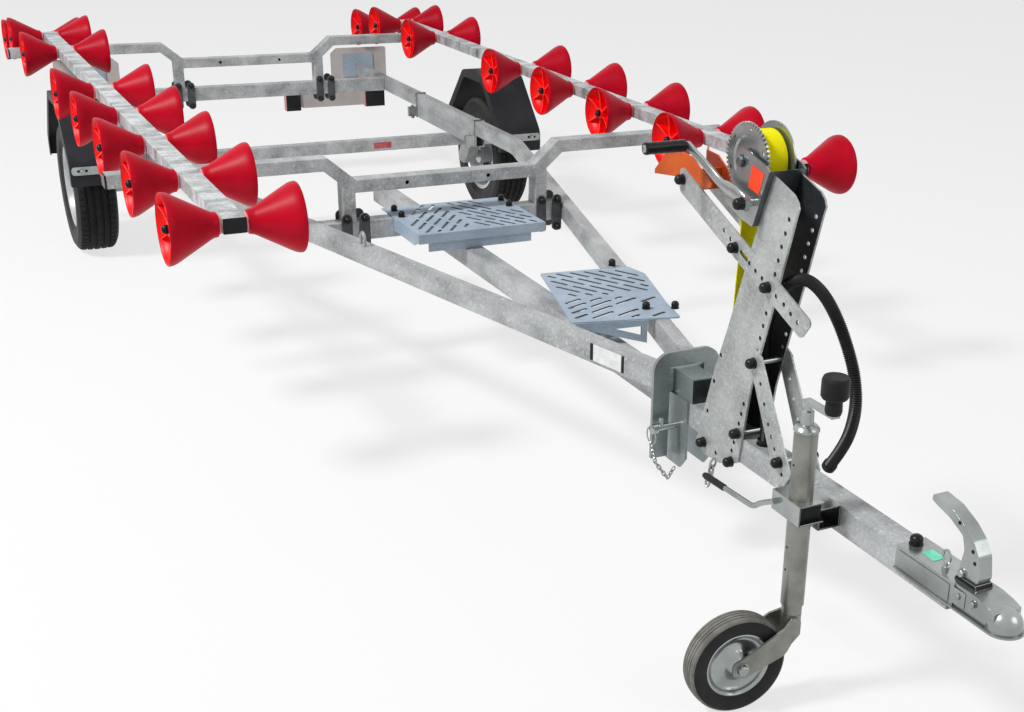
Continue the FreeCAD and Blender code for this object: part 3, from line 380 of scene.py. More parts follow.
def sweep(bm, points, radii, sides):
    """Round bar with flat ends through points in metres, with a radius in metres for each."""
    frames = []
    side = None
    for i, p in enumerate(points):
        along = (points[min(i + 1, len(points) - 1)] - points[max(i - 1, 0)]).normalized()
        side = along.orthogonal().normalized() if side is None else \
            (side - along * side.dot(along)).normalized()
        frames.append((p, side, along.cross(side)))
    rings = []
    for (p, a, b), r in zip(frames, radii):
        rings.append([bm.verts.new(p + (a * math.cos(t) + b * math.sin(t)) * r)
                      for t in (2 * math.pi * k / sides for k in range(sides))])
    for one, two in zip(rings, rings[1:]):
        join(bm, one, two)
    bm.faces.new(rings[0])
    bm.faces.new(rings[-1][::-1])


def ring_points(centre, a, b, count):
    """Closed loop of points: centre plus a and b as half axes, all in metres."""
    return [centre + a * math.cos(2 * math.pi * i / count) + b * math.sin(2 * math.pi * i / count)
            for i in range(count)]


def loop_bar(bm, points, radius, sides):
    """Closed round bar through a loop of points, in metres."""
    count = len(points)
    middle = sum(points, Vector()) / count
    rings = []
    for i, p in enumerate(points):
        along = (points[(i + 1) % count] - points[i - 1]).normalized()
        out = p - middle
        out = (out - along * out.dot(along)).normalized()
        other = along.cross(out)
        rings.append([bm.verts.new(p + (out * math.cos(t) + other * math.sin(t)) * radius)
                      for t in (2 * math.pi * k / sides for k in range(sides))])
    for i in range(count):
        join(bm, rings[i], rings[(i + 1) % count])


def dome_nut(bm, place, direction, r=12.5, mat=0):
    """Domed cap of radius r over a nut, its base at a place in mm."""
    lathe(bm, [(0, 0), (r, 0), (r, 2.2), (r * 0.90, 3), (r * 0.88, 9), (r * 0.94, 9.6),
               (r * 0.92, 12), (r * 0.80, 16), (r * 0.50, 19.2), (0, 20.4)],
          place, direction, 18, [mat] * 9)


def hex_nut(bm, place, direction, r, height):
    """Hexagon head with a washer, its base at a place in mm."""
    washer = 1.5
    lathe(bm, [(0, 0), (r * 1.25, 0), (r * 1.25, washer), (r, washer)], place, direction, 24)
    lathe(bm, [(r, washer), (r, height - 1), (r * 0.86, height), (0, height)], place,
          direction, 6)


def chain(bm, points, pitch, wire):
    """Links of a wire's radius along straight runs between points, all in metres."""
    stops = [points[0]]
    for a, b in zip(points, points[1:]):
        count = max(1, round((b - a).length / pitch))
        stops += [a.lerp(b, (i + 1) / count) for i in range(count)]
    for i, (a, b) in enumerate(zip(stops, stops[1:])):
        along = (b - a).normalized()
        side = along.cross(Y if i % 2 else X).normalized()
        half = pitch * 0.5 + wire * 1.6
        loop_bar(bm, ring_points((a + b) / 2, along * half, side * wire * 2.6, 12), wire, 6)


WELD = 2e-5                     # metres within which corners become one
FLAT = math.radians(0.4)        # faces that turn less than this become one
SHARP = math.radians(50)        # edges that turn more than this are rounded,
SHORT = 0.004                   # unless they are shorter than this, in metres


def refine(node, mats, bevel, segments=2, paint=None, holes=None, angle=38):
    """Detailed stand-in for a CAD node: rounded edges, cut holes and painted faces.

    Holes(cutter) builds what is cut away. Paint(middle in mm, normal, index) gives the
    material index of a face, where index is 1 on what drill and slab(mat=1) cut.
    """
    source = frame["nodes"][node]
    bm = bmesh.new()
    bm.from_mesh(source.data)
    bm.transform(source.matrix_world)
    for layer in list(bm.loops.layers.float_vector.values()):
        bm.loops.layers.float_vector.remove(layer)
    bmesh.ops.remove_doubles(bm, verts=bm.verts, dist=WELD)
    bmesh.ops.dissolve_limit(bm, angle_limit=FLAT, verts=bm.verts, edges=bm.edges)
    for face in bm.faces:
        face.material_index = 0
    if bevel:
        edges = [e for e in bm.edges if len(e.link_faces) == 2
                 and e.calc_face_angle(0) > SHARP and e.calc_length() > SHORT]
        bmesh.ops.bevel(bm, geom=edges, offset=bevel * MM, segments=segments, affect="EDGES",
                        clamp_overlap=True, loop_slide=True)
    if holes:
        bm = cut(bm, holes)
    if paint:
        for face in bm.faces:
            face.material_index = int(paint(face.calc_center_median() / MM, face.normal,
                                            face.material_index))
    return finish_piece(node + "_detail", bm, mats, node_body[node], (node,),
                        angle)


def worked_out(obj):
    """Mesh of an object with its modifiers or its curve worked out."""
    return bpy.data.meshes.new_from_object(
        obj.evaluated_get(bpy.context.evaluated_depsgraph_get()))


def cut(bm, holes):
    """Mesh with a second mesh, built by holes(cutter), taken away."""
    bmesh.ops.recalc_face_normals(bm, faces=bm.faces)
    cutter = bmesh.new()
    holes(cutter)
    bmesh.ops.recalc_face_normals(cutter, faces=cutter.faces)
    objects = []
    for mesh_source in (bm, cutter):
        mesh = bpy.data.meshes.new("cutting")
        for _ in range(4):      # empty slots, so that the cut keeps the material indices
            mesh.materials.append(None)
        mesh_source.to_mesh(mesh)
        obj = bpy.data.objects.new("cutting", mesh)
        SCENE.collection.objects.link(obj)
        objects.append(obj)
        mesh_source.free()
    change = objects[0].modifiers.new("cut", "BOOLEAN")
    change.operation, change.solver, change.object = "DIFFERENCE", "EXACT", objects[1]
    result = bmesh.new()
    result.from_mesh(worked_out(objects[0]))
    for obj in objects:
        mesh = obj.data
        bpy.data.objects.remove(obj)
        bpy.data.meshes.remove(mesh)
    return result


def drill(bm, place, axis, radius, depth, sides=14, stretch=(0, 0, 0)):
    """Cutter for a round hole, or for a slot where a vector stretches it, all in mm."""
    side, other, axis = basis(axis)
    start, reach = Vector(place) * MM, Vector(stretch)
    ring = []
    for i in range(sides):
        a = 2 * math.pi * (i + 0.5) / sides
        arm = (side * math.cos(a) + other * math.sin(a)) * radius
        arm += reach * (0.5 if arm.dot(reach) > 0 else -0.5)
        ring.append(start + arm * MM)
    low = [bm.verts.new(p - axis * depth / 2 * MM) for p in ring]
    high = [bm.verts.new(p + axis * depth / 2 * MM) for p in ring]
    bm.faces.new(low[::-1])
    bm.faces.new(high)
    for i in range(sides):
        j = (i + 1) % sides
        bm.faces.new((low[i], low[j], high[j], high[i])).material_index = 1


# ---------------------------------------------------------------- hose
HOSE_D = 0.026
RIB_PITCH = 0.0044
RIB_WAVE = (0.0, -0.0011, -0.0022, -0.0011)     # change of radius over one rib
HOSE = [    # route points, as in part.py
    (2.128, 0, 0.428), (2.128, 0, 0.480), (2.112, 0, 0.540), (2.100, 0, 0.600),
    (2.098, 0, 0.660), (2.110, 0, 0.720), (2.138, 0, 0.775), (2.180, 0, 0.813),
    (2.232, 0, 0.834), (2.290, 0, 0.822), (2.340, 0, 0.788), (2.382, 0, 0.742),
    (2.416, 0, 0.690), (2.430, 0, 0.630), (2.420, 0, 0.570), (2.394, 0, 0.518),
    (2.366, 0, 0.478),
]


def route(points):
    """Points along the smooth line that has the given points as its control points."""
    data = bpy.data.curves.new("route", "CURVE")
    data.dimensions = "3D"
    spline = data.splines.new("NURBS")
    spline.points.add(len(points) - 1)
    for point, place in zip(spline.points, points):
        point.co = (*place, 1)
    spline.order_u = 3
    spline.use_endpoint_u = True
    spline.resolution_u = 24
    obj = bpy.data.objects.new("route", data)
    SCENE.collection.objects.link(obj)
    mesh = worked_out(obj)
    line = [v.co.copy() for v in mesh.vertices]
    bpy.data.objects.remove(obj)
    bpy.data.meshes.remove(mesh)
    return line


def resample(line, step):
    """Evenly spaced points along a line, and its length."""
    total = sum((b - a).length for a, b in zip(line, line[1:]))
    count = round(total / step)
    result, gone, k = [line[0]], 0.0, 0
    for i in range(1, count):
        want = total * i / count
        while gone + (line[k + 1] - line[k]).length < want:
            gone += (line[k + 1] - line[k]).length
            k += 1
        result.append(line[k].lerp(line[k + 1], (want - gone) / (line[k + 1] - line[k]).length))
    return result + [line[-1]], total


steps = len(RIB_WAVE)
hose_line, hose_length = resample(route(HOSE), RIB_PITCH / steps)
bm = bmesh.new()
sweep(bm, hose_line, [HOSE_D / 2 + RIB_WAVE[i % steps] for i in range(len(hose_line))], 22)
hose_end = refine("hose_ends", [black_cap], 0.8)
hose = finish_piece("corrugated_hose", bm, [hose_black], "chassis", ("hose",),
                    angle=80, weighted=False)

# ---------------------------------------------------------------- rollers
# (radius, distance from the middle of the spindle) in mm
CONE_OUT = [(24, 37), (27, 37), (31.5, 39), (33.5, 50), (36, 56), (84, 142), (88.5, 151),
            (91.2, 159), (92, 165), (91.8, 168), (90.5, 170), (89, 170), (87.8, 168.5)]
CONE_IN = [(86.5, 162), (82, 152), (64, 132), (30, 126), (21, 126), (20, 156), (18, 158),
           (11, 158)]
WASHER = [(11, 30.6), (24, 30.6), (25.5, 32), (25.5, 35), (24, 37), (11, 37)]
RIB = [(19, 154), (19, 124), (40, 124), (66, 130), (85.5, 158), (84.5, 164), (60, 158), (34, 155)]
RIB_THICK = 1.8


def roller(name):
    """Two hollow cones on one spindle, with ribs, washers and cap nuts."""
    bm = bmesh.new()
    centre = middle_of(name)
    for way in (-1, 1):
        axis = (0, way, 0)
        # outer faces take the plain red, inner faces of the hollow the painted light
        lathe(bm, CONE_OUT + CONE_IN, centre, axis, 64, [0] * 12 + [1] * 8)
        lathe(bm, WASHER, centre, axis, 32, [3] * 5)
        for k in range(6):
            out, wide = spoke(math.pi / 6 + k * math.pi / 3 + (0.2 if way > 0 else 0))
            points = [centre + out * r + Y * way * t - wide * (RIB_THICK / 2) for r, t in RIB]
            for face in slab(bm, points, wide, RIB_THICK, 1)[6:]:   # the sides that show, paler as a painted highlight
                face.material_index = 2
        dome_nut(bm, centre + Y * way * 154, axis, 13, 4)
    finish_piece(name + "_detail", bm, [red_cone, red_hollow_painted_light, red_rib_painted_highlight, pink_washer, black_cap],
                 name, (name,), angle=40, weighted=False)


for node in sorted(frame["nodes"]):
    if node.startswith(("roller_left_", "roller_right_")):
        roller(node)


# ---------------------------------------------------------------- road wheels
TYRE_R, TREAD_HALF = 262, 58
CROWN_DROP = 3.2                # fall of the tread from its middle to its edge
GROOVES, GROOVE_HALF, GROOVE_DEPTH = (-39, -14, 14, 39), 4.2, 7
TYRE_SIDES = 240                # steps round the tyre, which the cross cuts count
VENT_RING, VENT_R, VENT_STRETCH = 112, 8, 16
BOLT_RING = 49


def tyre_profile():
    """Closed section of a road tyre, as (radius, distance) pairs in mm."""
    side = [(153, -58), (157, -62), (170, -66), (173, -68), (186, -73.5), (188, -76),
            (191, -75.5), (212, -78.5), (232, -77), (235, -78), (238, -76), (248, -71)]
    shoulder = [(253, -67), (257, -62)]
    tread = []
    for step in range(30):
        y = 2.0 * step - TREAD_HALF
        crown = TYRE_R - (abs(y) / TREAD_HALF) ** 2 * CROWN_DROP
        deep = any(abs(y - g) < GROOVE_HALF for g in GROOVES)
        tread.append((crown - (GROOVE_DEPTH if deep else 0), y))
    half = side + shoulder + tread
    return half + [(r, -t) for r, t in reversed(half[:-1])]


TYRE = tyre_profile()


def tread_cut(row, i):
    """Depth taken from the tread by its cross cuts, in mm."""
    r, t = TYRE[row]
    if abs(t) > 66 or r < 256:      # side wall, or the floor of a groove
        return 0
    if abs(t) > 44:                 # shoulder blocks
        return 4.5 if i % 4 == 0 else 0
    if abs(t) > 18:                 # ribs beside the middle one
        return 3.0 if (i + int(abs(t)) // 3) % 5 == 0 else 0
    return 2.2 if (i + int(abs(t)) // 4) % 6 == 0 else 0


def vents(cutter):
    """Ten slots through the rim of the wheel that is being built."""
    for k in range(10):
        out, round_way = spoke(2 * math.pi * k / 10)
        drill(cutter, centre + out * VENT_RING + Y * way * 14, Y, VENT_R, 60, 12,
              round_way * VENT_STRETCH)


for side, way in (("left", 1), ("right", -1)):
    centre = middle_of("tyre_" + side)
    bm = bmesh.new()
    lathe(bm, TYRE, centre, Y, TYRE_SIDES, [1 if r < 252 else 0 for r, t in TYRE[:-1]] + [1],
          tread_cut, closed=True)
    finish_piece("tyre_%s_tread" % side, bm, [tread_black, side_black], "wheel_" + side,
                 ("tyre_" + side,), angle=50, weighted=False)
    # painted shade: the walls of the vent slots are dark
    refine("rim_" + side, [wheel_silver, dark_zinc_and_painted_shade], 0, holes=vents, angle=30)
    bm = bmesh.new()
    for k in range(4):
        out, _ = spoke(math.pi / 4 + k * math.pi / 2)
        hex_nut(bm, centre + out * BOLT_RING + Y * way * 20, (0, way, 0), 10, 15)
    lathe(bm, [(0, 46.5), (20, 46.5), (24, 45), (26, 42), (26, 40)],
          centre, (0, way, 0), 32, [1] * 4)
    finish_piece("wheel_bolts_" + side, bm, [bright_zinc, matt_black], "wheel_" + side,
                 angle=35, weighted=False)

# ---------------------------------------------------------------- frame steel
for node in ("chassis_rails", "cross_beams", "yokes", "axle_frame", "drawbar"):
    refine(node, [beam_zinc], 3.5, 3)
refine("roller_rails", [rail_zinc_painted_reflections], 3.5, 3)
refine("head_bracket", [head_zinc, matt_black], 1.2,
       paint=lambda c, n, m: abs(c.y) < 27.2 and 429 < c.z < 483 and c.x > 1786)
refine("fender_bars", [bright_zinc], 0.8)
refine("suspension_arms", [galvanised], 2.5)
refine("carriage_straps", [bright_zinc], 0.8)
refine("yoke_clamps", [clamp_grey], 1.2)
refine("board_clamps", [plate_zinc], 0.8)
refine("end_caps", [black_cap], 1.2)
refine("lamps", [lens_red, matt_black], 3, paint=lambda c, n, m: n.x > 0.5)
refine("light_boards", [board_grey, matt_black], 0.6, paint=lambda c, n, m: abs(n.x) < 0.5)
# painted reflection: side faces nearer the middle than 815 mm take the lighter black
refine("fenders", [fender_black, fender_painted_reflection], 1.5,
       paint=lambda c, n, m: abs(n.y) > 0.8 and abs(c.y) < 815)

# holes of the post and its braces, as (x, z) in mm
POST_HOLES = [(2206, 952), (2197, 921), (2187, 891), (2179, 860), (2171, 829), (2149, 738),
              (2141, 708), (2133, 678), (2125, 647), (2087, 511), (2080, 485), (2073, 459),
              (2058, 408), (2051, 385), (1986, 353), (1941, 440), (1962, 520), (1985, 590)]
ARM_HOLES = [(1976, 872), (2003, 860), (2080, 828), (2105, 818), (2131, 809), (2186, 787),
             (2215, 778), (2241, 766), (2267, 756)]
STRUT_HOLES = [(2152, 582), (2171, 543), (2191, 504), (2206, 481), (2221, 459), (2253, 413)]
BRACE_Y = 37                    # middle of the braces' plates, left and right
LEFT_ARM_END = 2150             # the left-hand arm has no holes in front of this
HOLE_R, STRUT_HOLE_R = 5, 4.5
THROUGH_POST, THROUGH_BRACE = 90, 8


def post_holes(cutter):
    """Round holes through both plates of the post."""
    for x, z in POST_HOLES:
        drill(cutter, (x, 0, z), Y, HOLE_R, THROUGH_POST)


def brace_holes(cutter):
    """Round holes in the arms and struts, and one slot in the right-hand arm."""
    for x, z in ARM_HOLES:
        for y in (-BRACE_Y, BRACE_Y):
            if y < 0 or x < LEFT_ARM_END:
                drill(cutter, (x, y, z), Y, HOLE_R, THROUGH_BRACE)
    drill(cutter, (2058, -BRACE_Y, 838), Y, HOLE_R, THROUGH_BRACE, stretch=(22, 0, -9))
    for x, z in STRUT_HOLES:
        for y in (-BRACE_Y, BRACE_Y):
            drill(cutter, (x, y, z), Y, STRUT_HOLE_R, THROUGH_BRACE)


def post_paint(c, n, m):
    """Cross bolts bright; inner faces and the right-hand holes in shade."""
    if abs(c.y) < 29:
        return 2
    return abs(c.y) < 30.6 and abs(n.y) > 0.9 or m and c.y < 0


refine("post_plates", [galvanised, shaded_zinc, bright_zinc], 0.9, holes=post_holes,
       paint=post_paint)
refine("post_braces", [galvanised, shaded_zinc], 0.9, holes=brace_holes,
       paint=lambda c, n, m: m and c.y < 0)
# painted shade: faces that look in towards the middle take the darker orange
refine("bow_bracket", [orange_paint, orange_painted_shade], 0.7,
       paint=lambda c, n, m: n.y * c.y < -0.3 * abs(c.y) and abs(n.y) > 0.5)


# ---------------------------------------------------------------- perforated platforms
def clip(a, b, polygon, margin):
    """Part of the line from a to b that lies inside an anticlockwise polygon by a margin."""
    start, stop = 0.0, 1.0
    for (x0, y0), (x1, y1) in zip(polygon, polygon[1:] + polygon[:1]):
        inward = Vector((y0 - y1, x1 - x0)).normalized()
        da = (a - Vector((x0, y0))).dot(inward) - margin
        db = (b - Vector((x0, y0))).dot(inward) - margin
        if da < 0 and db < 0:
            return None
        if da < 0:
            start = max(start, da / (da - db))
        elif db < 0:
            stop = min(stop, da / (da - db))
    return (a.lerp(b, start), a.lerp(b, stop)) if stop > start else None


SLOT_HALF, SLOT_R = 35, 5.6     # half a full slot between its round ends, and its half width
SLOT_LEAST = 9                  # shorter ones at the border are left out
SLOT_GAP, SLOT_PERIOD, SLOT_SHIFT = 33, 98, 34  # across, along, and along from line to line
SLOT_BORDER, NUT_BORDER = 20, 20
STEP_TOP = 490


def slots(cutter, polygon, angle, nuts):
    """Slanted slots over a polygon, each line of them shifted along from the one before."""
    along = Vector((math.cos(math.radians(angle)), math.sin(math.radians(angle))))
    square = Vector((-along.y, along.x))
    middle = sum((Vector(p) for p in polygon), Vector((0, 0))) / len(polygon)
    for i in range(-12, 13):    # more lines and slots than either plate holds
        for j in range(-6, 7):
            p = middle + square * SLOT_GAP * i + along * (SLOT_PERIOD * j + SLOT_SHIFT * i)
            part = clip(p - along * SLOT_HALF, p + along * SLOT_HALF, polygon, SLOT_BORDER)
            if not part:
                continue
            centre, reach = (part[0] + part[1]) / 2, part[1] - part[0]
            if reach.length < SLOT_LEAST or any(
                    (centre - Vector(n)).length < NUT_BORDER + reach.length / 2 for n in nuts):
                continue
            drill(cutter, (*centre, STEP_TOP - 2), Z, SLOT_R, 12, 12, (*reach, 0))


FRONT_NUTS = ((154, -161), (235, -164), (151, 219), (231, 214))
HEAD_NUTS = ((982, 214), (1370, 115), (1397, 188))


def step_front_holes(cutter):
    """Two fields of slots that meet near the middle of the plate."""
    slots(cutter, [(108, -190), (468, -190), (468, 18), (108, 18)], 145, FRONT_NUTS)
    slots(cutter, [(108, 10), (468, 10), (468, 240), (108, 240)], 29, FRONT_NUTS)


def step_head_holes(cutter):
    """Two fields of slots, and the triangular hole in the front flange."""
    slots(cutter, [(1196, -68), (1396, -116), (1465, 167), (1356, 189), (1262, 216)], 112,
          HEAD_NUTS)
    slots(cutter, [(974, -12), (1204, -70), (1270, 214), (1089, 265), (1009, 252)], 29,
          HEAD_NUTS)
    triangle = [(1423, -7, 467), (1440, 63, 471), (1440, 63, 446)]
    slab(cutter, [Vector(c) - X * 12 for c in triangle], X, 24, 1)


# painted shade: the walls of the slots are dark
refine("step_front", [plate_zinc, dark_zinc_and_painted_shade], 1.0, holes=step_front_holes)
refine("step_head", [plate_zinc, dark_zinc_and_painted_shade], 1.0, holes=step_head_holes)

# ---------------------------------------------------------------- winch
GEAR = Vector((2048, 0, 1038))
CRANK = Vector((2097.6, 0, 962.9))
GRIP = Vector((1870, 0, 1037))
# painted shade: faces that look forward between the side plates are dark
refine("winch_frame", [bright_zinc, dark_zinc_and_painted_shade], 1.4,
       paint=lambda c, n, m: n.x > 0.8 and abs(c.y) < 46)


def gear_work(cutter):
    """Groove and six short slots in the right-hand face of the gear wheel, the slots' walls in
    painted shade.
    """
    lathe(cutter, [(20, 36.6), (48, 36.6), (53, 41), (20, 41)], GEAR, -Y, 48, closed=True)
    for k in range(6):
        out, round_way = spoke(0.4 + k * math.pi / 3)
        drill(cutter, GEAR + out * 64 - Y * 37, Y, 3.2, 12, 10, out * 0.1 + round_way * 5)


def gear_painted_shade(c, n, m):
    """Painted shade: dark floor between the teeth."""
    return abs(n.y) < 0.5 and c.y < -33 and 70 < math.hypot(c.x - GEAR.x, c.z - GEAR.z) < 74.5


refine("winch_drum", [bright_zinc, dark_zinc_and_painted_shade], 0, holes=gear_work, paint=gear_painted_shade, angle=30)
refine("strap_tail", [webbing], 0.8)
# the wound webbing is the one CAD node that shows as it is
strap = frame["nodes"]["winch_strap"].data
strap.materials.clear()
strap.materials.append(webbing)
for face in strap.polygons:
    face.material_index = 0

# middle line of the crank's flat arm, from the pinion's shaft to the grip
CRANK_WAY = [(2108, -70, 955), (2090, -70, 966), (2060, -70, 976), (2030, -70, 979),
             (2008, -71, 982), (1990, -74, 991), (1970, -76.5, 1002), (1940, -77, 1014),
             (1905, -77, 1026), (1872, -77, 1038), (1863, -77, 1041)]
ARM_HALF, ARM_TAPER, ARM_BOSS = 0.0125, 0.0035, 0.003   # half width, its loss, its gain
ARM_THICK = 0.0052              # half thickness
ARM_TIP = 0.45                  # share of both at the two ends


def squared(value, power):
    """Sine or cosine pushed outwards, which turns an ellipse into a rounded oblong."""
    return math.copysign(abs(value) ** power, value)


def crank_arm(bm, sides):
    """Flat arm with round edges, wider at its boss."""
    line = [Vector(p) * MM for p in CRANK_WAY]
    rings = []
    for i, p in enumerate(line):
        along = (line[min(i + 1, len(line) - 1)] - line[max(i - 1, 0)]).normalized()
        wide = along.cross(Y).normalized()
        flat = wide.cross(along).normalized()
        half = ARM_HALF - ARM_TAPER * i / len(line) + (ARM_BOSS if 0 < i < 4 else 0)
        tip = ARM_TIP if i in (0, len(line) - 1) else 1.0
        turns = (2 * math.pi * k / sides for k in range(sides))
        rings.append([bm.verts.new(p + wide * half * tip * squared(math.cos(t), 0.7)
                                   + flat * ARM_THICK * tip * squared(math.sin(t), 0.8))
                      for t in turns])
    for one, two in zip(rings, rings[1:]):
        join(bm, one, two)
    bm.faces.new(rings[0])
    bm.faces.new(rings[-1][::-1])


bm = bmesh.new()
crank_arm(bm, 20)
lathe(bm, [(0, 76), (8, 76), (8, -46), (0, -46)], CRANK, -Y, 24)
lathe(bm, [(0, 41), (10.5, 41), (10.5, 33), (0, 33)], CRANK, -Y, 9)
lathe(bm, [(0, 84), (7, 84), (7, 70), (0, 70)], GRIP, -Y, 20)
lathe(bm, [(0, 184), (7, 184), (8.5, 183), (8.5, 182), (12.2, 182.2), (13.2, 180.5), (13.5, 178)]
      + [(13.5 - (0.7 if k % 2 else 0), 176 - k * 8) for k in range(11)]
      + [(13.5, 86), (12, 83.2), (0, 83.2)], GRIP, -Y, 32, [0] * 3 + [1] * 17)
slab(bm, [(CRANK.x + dx, -78, CRANK.z + dz) for dx, dz in
          ((-15, -11), (11, -15), (15, 11), (-11, 15))], Y, 13, 0, 1.2)
dome_nut(bm, CRANK - Y * 78, -Y, 13.5, 1)
finish_piece("winch_crank_detail", bm, [bright_zinc, black_cap], "winch_crank",
             ("winch_crank",), angle=50, weighted=False)

bm = bmesh.new()
hex_nut(bm, GEAR - Y * 50, -Y, 11, 10)
hex_nut(bm, GEAR + Y * 40, Y, 11, 10)
for y, z in ((12, 985), (-14, 955), (16, 930)):
    edge = 2081 + (z - 869) * 63 / 157      # the sloping back of the winch frame
    hex_nut(bm, (edge - 3.8, y, z), (-0.928, 0, 0.372), 8, 9)
hex_nut(bm, CRANK + Y * 40, Y, 10, 9)
finish_piece("winch_bolts", bm, [dark_zinc_and_painted_shade], "chassis")
bm = bmesh.new()
slab(bm, [(2087, -50.2, 1038), (2131, -50.2, 1028), (2115, -50.2, 982), (2074, -50.2, 990)],
     -Y, 0.5, 0)
finish_piece("winch_label", bm, [label_red], "chassis")

# ---------------------------------------------------------------- coupling
# painted shade: faces that look down, above 384 mm, are dark
refine("coupling_body", [bright_zinc, dark_zinc_and_painted_shade], 2, 3,
       paint=lambda c, n, m: n.z < -0.5 and c.z > 384)
refine("coupling_handle", [bright_zinc], 3.5, 3)
bm = bmesh.new()
for way in (-1, 1):
    y = 34 * way
    slab(bm, [(2640, y, 388), (2786, y, 388), (2786, y, 424), (2640, y, 424)], (0, way, 0), 1.6,
         0, 1.0)
    slab(bm, [(2792, y - way, 392), (2826, y - way * 3, 392), (2826, y - way * 3, 424),
              (2792, y - way, 424)], (0, way, 0), 1.2, 0, 0.5)
    for x, z in ((2808, 410), (2847, 414)):
        hex_nut(bm, (x, way * 31, z), (0, way, 0), 6.5, 6)
    hex_nut(bm, (2793, way * 15, 446), (0, way, 0), 8, 7)
    for x, z in ((2820, 478), (2812, 498), (2770, 536)):
        lathe(bm, [(0, 14.6), (4.2, 14.6), (3.2, 16.2), (0, 16.6)], (x, 0, z), (0, way, 0), 16,
              [1] * 3)
slab(bm, [(2778, -20, 431), (2838, -20, 431), (2834, -20, 440), (2784, -20, 440)], Y, 40, 1,
     1.0)
slab(bm, [(2680, -12, 431.2), (2716, -16, 431.2), (2716, 14, 431.2), (2680, 14, 431.2)], Z,
     0.5, 2)
dome_nut(bm, (2647, 0, 431), Z, 14, 1)
lathe(bm, [(0, 0), (7, 0), (7, 6), (4, 8), (4, 16), (0, 16)], (2748, -14, 431), Z, 16)
ring = Vector((2.748, -0.014, 0.457))
loop_bar(bm, ring_points(ring, X * 0.010, Z * 0.013, 18), 0.0022, 8)
finish_piece("coupling_fittings", bm, [bright_zinc, black_cap, label_green], "chassis")

# ---------------------------------------------------------------- jockey stand
refine("jockey_tube", [dull_zinc], 0.6)
refine("jockey_stem", [dull_zinc], 0)
refine("jockey_fork", [dull_zinc], 1.0)
refine("jockey_head", [bright_zinc, matt_black], 0.8,
       paint=lambda c, n, m: c.z > 663.5 and c.x > 2470)


def clamp_painted_shade(c, n, m):
    """Painted shade: black inside the square tube next to the drawbar, and in the clamp's front
    opening.
    """
    in_tube = c.y > -84 and abs(c.z - 406.5) < 20.3 and abs(c.y + 57) < 23.8
    return in_tube or c.x > 2456 and -141 < c.y < -84 and 414 < c.z < 452


refine("jockey_clamp", [bright_zinc, matt_black], 1.2, paint=clamp_painted_shade)
bm = bmesh.new()
sweep(bm, [Vector((2.2095, -0.150, 0.3847)), Vector((2.206, -0.150, 0.3845)),
           Vector((2.134, -0.150, 0.3804)), Vector((2.126, -0.150, 0.3799))],
      [0.0066, 0.0076, 0.0076, 0.0060], 18)
finish_piece("lever_sleeve", bm, [matt_black], "chassis")
JOCKEY_R = 107.5
STEM_X, STEM_Y = 2431, -116
yaw = math.radians(-5)
axle = Vector((math.cos(yaw), math.sin(yaw), 0))


def jockey_profile():
    """Section of the jockey tyre: side walls, and a tread with four grooves."""
    tread = []
    for k in range(-44, 45):
        t = k * 0.45
        groove = any(abs(t - g) < 1.0 for g in (-12, -4.5, 4.5, 12))
        tread.append((JOCKEY_R - (abs(t) / 20) ** 3 * 2.2 - (1.8 if groove else 0), t))
    wall = [(104, 21.6), (101, 23.5), (96, 25), (84, 24.4), (74, 22), (70, 20)]
    return [(r, -t) for r, t in reversed(wall)] + tread + wall


profile = jockey_profile()
centre = middle_of("jockey_wheel")
bm = bmesh.new()
lathe(bm, profile, centre, axle, 96, [0 if r > 103 else 1 for r, t in profile[:-1]])
rim_half = [(72, 20), (69, 21.5), (66, 20), (63, 14), (57, 7), (45, 5), (40, 6.5), (32, 9),
            (26, 15), (21, 24), (16, 28), (12, 30), (8.2, 30)]
for way in (-1, 1):
    lathe(bm, rim_half, centre, axle * way, 64, [2] * 12)
finish_piece("jockey_wheel_detail", bm, [jockey_tread, jockey_side, bright_zinc], "jockey_wheel",
             ("jockey_wheel",), angle=50, weighted=False)
bm = bmesh.new()
for way in (-1, 1):
    hex_nut(bm, centre + axle * way * 36, axle * way, 12, 10)
for z in (530, 350, 300):
    lathe(bm, [(0, 0), (3, 0), (2.4, 1.0), (0, 1.4)], (STEM_X, STEM_Y - 23.6, z), -Y, 12,
          [1] * 3)
finish_piece("jockey_axle_nuts", bm, [bright_zinc, matt_black], "jockey_fork")

# ---------------------------------------------------------------- nuts and small fittings
bm = bmesh.new()
POST_NUTS = ((1793, 943), (2024, 847), (2155, 797), (2122, 619), (2075, 437), (2242, 437))
FOOT_NUTS = ((1932, 358), (2051, 358))
for y, places in ((39, POST_NUTS), (35, FOOT_NUTS)):
    for x, z in places:
        for way in (-1, 1):
            dome_nut(bm, (x, way * y, z), (0, way, 0))
for x in (172, -2428):
    for y in (-345, -287, 331, 388):
        for z in (405, 499):
            dome_nut(bm, (x + 66, y, z), X, 12)
            dome_nut(bm, (x - 6, y, z), -X, 12)
for x, y in HEAD_NUTS + FRONT_NUTS:
    dome_nut(bm, (x, y, STEP_TOP), Z, 11.5)
finish_piece("cap_nuts", bm, [black_cap], "chassis", weighted=False)

bm = bmesh.new()
for x in (-1898, -1186):
    for way in (-1, 1):
        hex_nut(bm, (x, way * 638, 382), -Z, 8, 9)
        hex_nut(bm, (x, way * 638, 426), Z, 8, 9)
for x, front in ((-1212, 1), (-1864, -1)):
    for way in (-1, 1):
        hex_nut(bm, (x + 6 * front, way * 945, 394), (front, 0, 0), 8, 8)
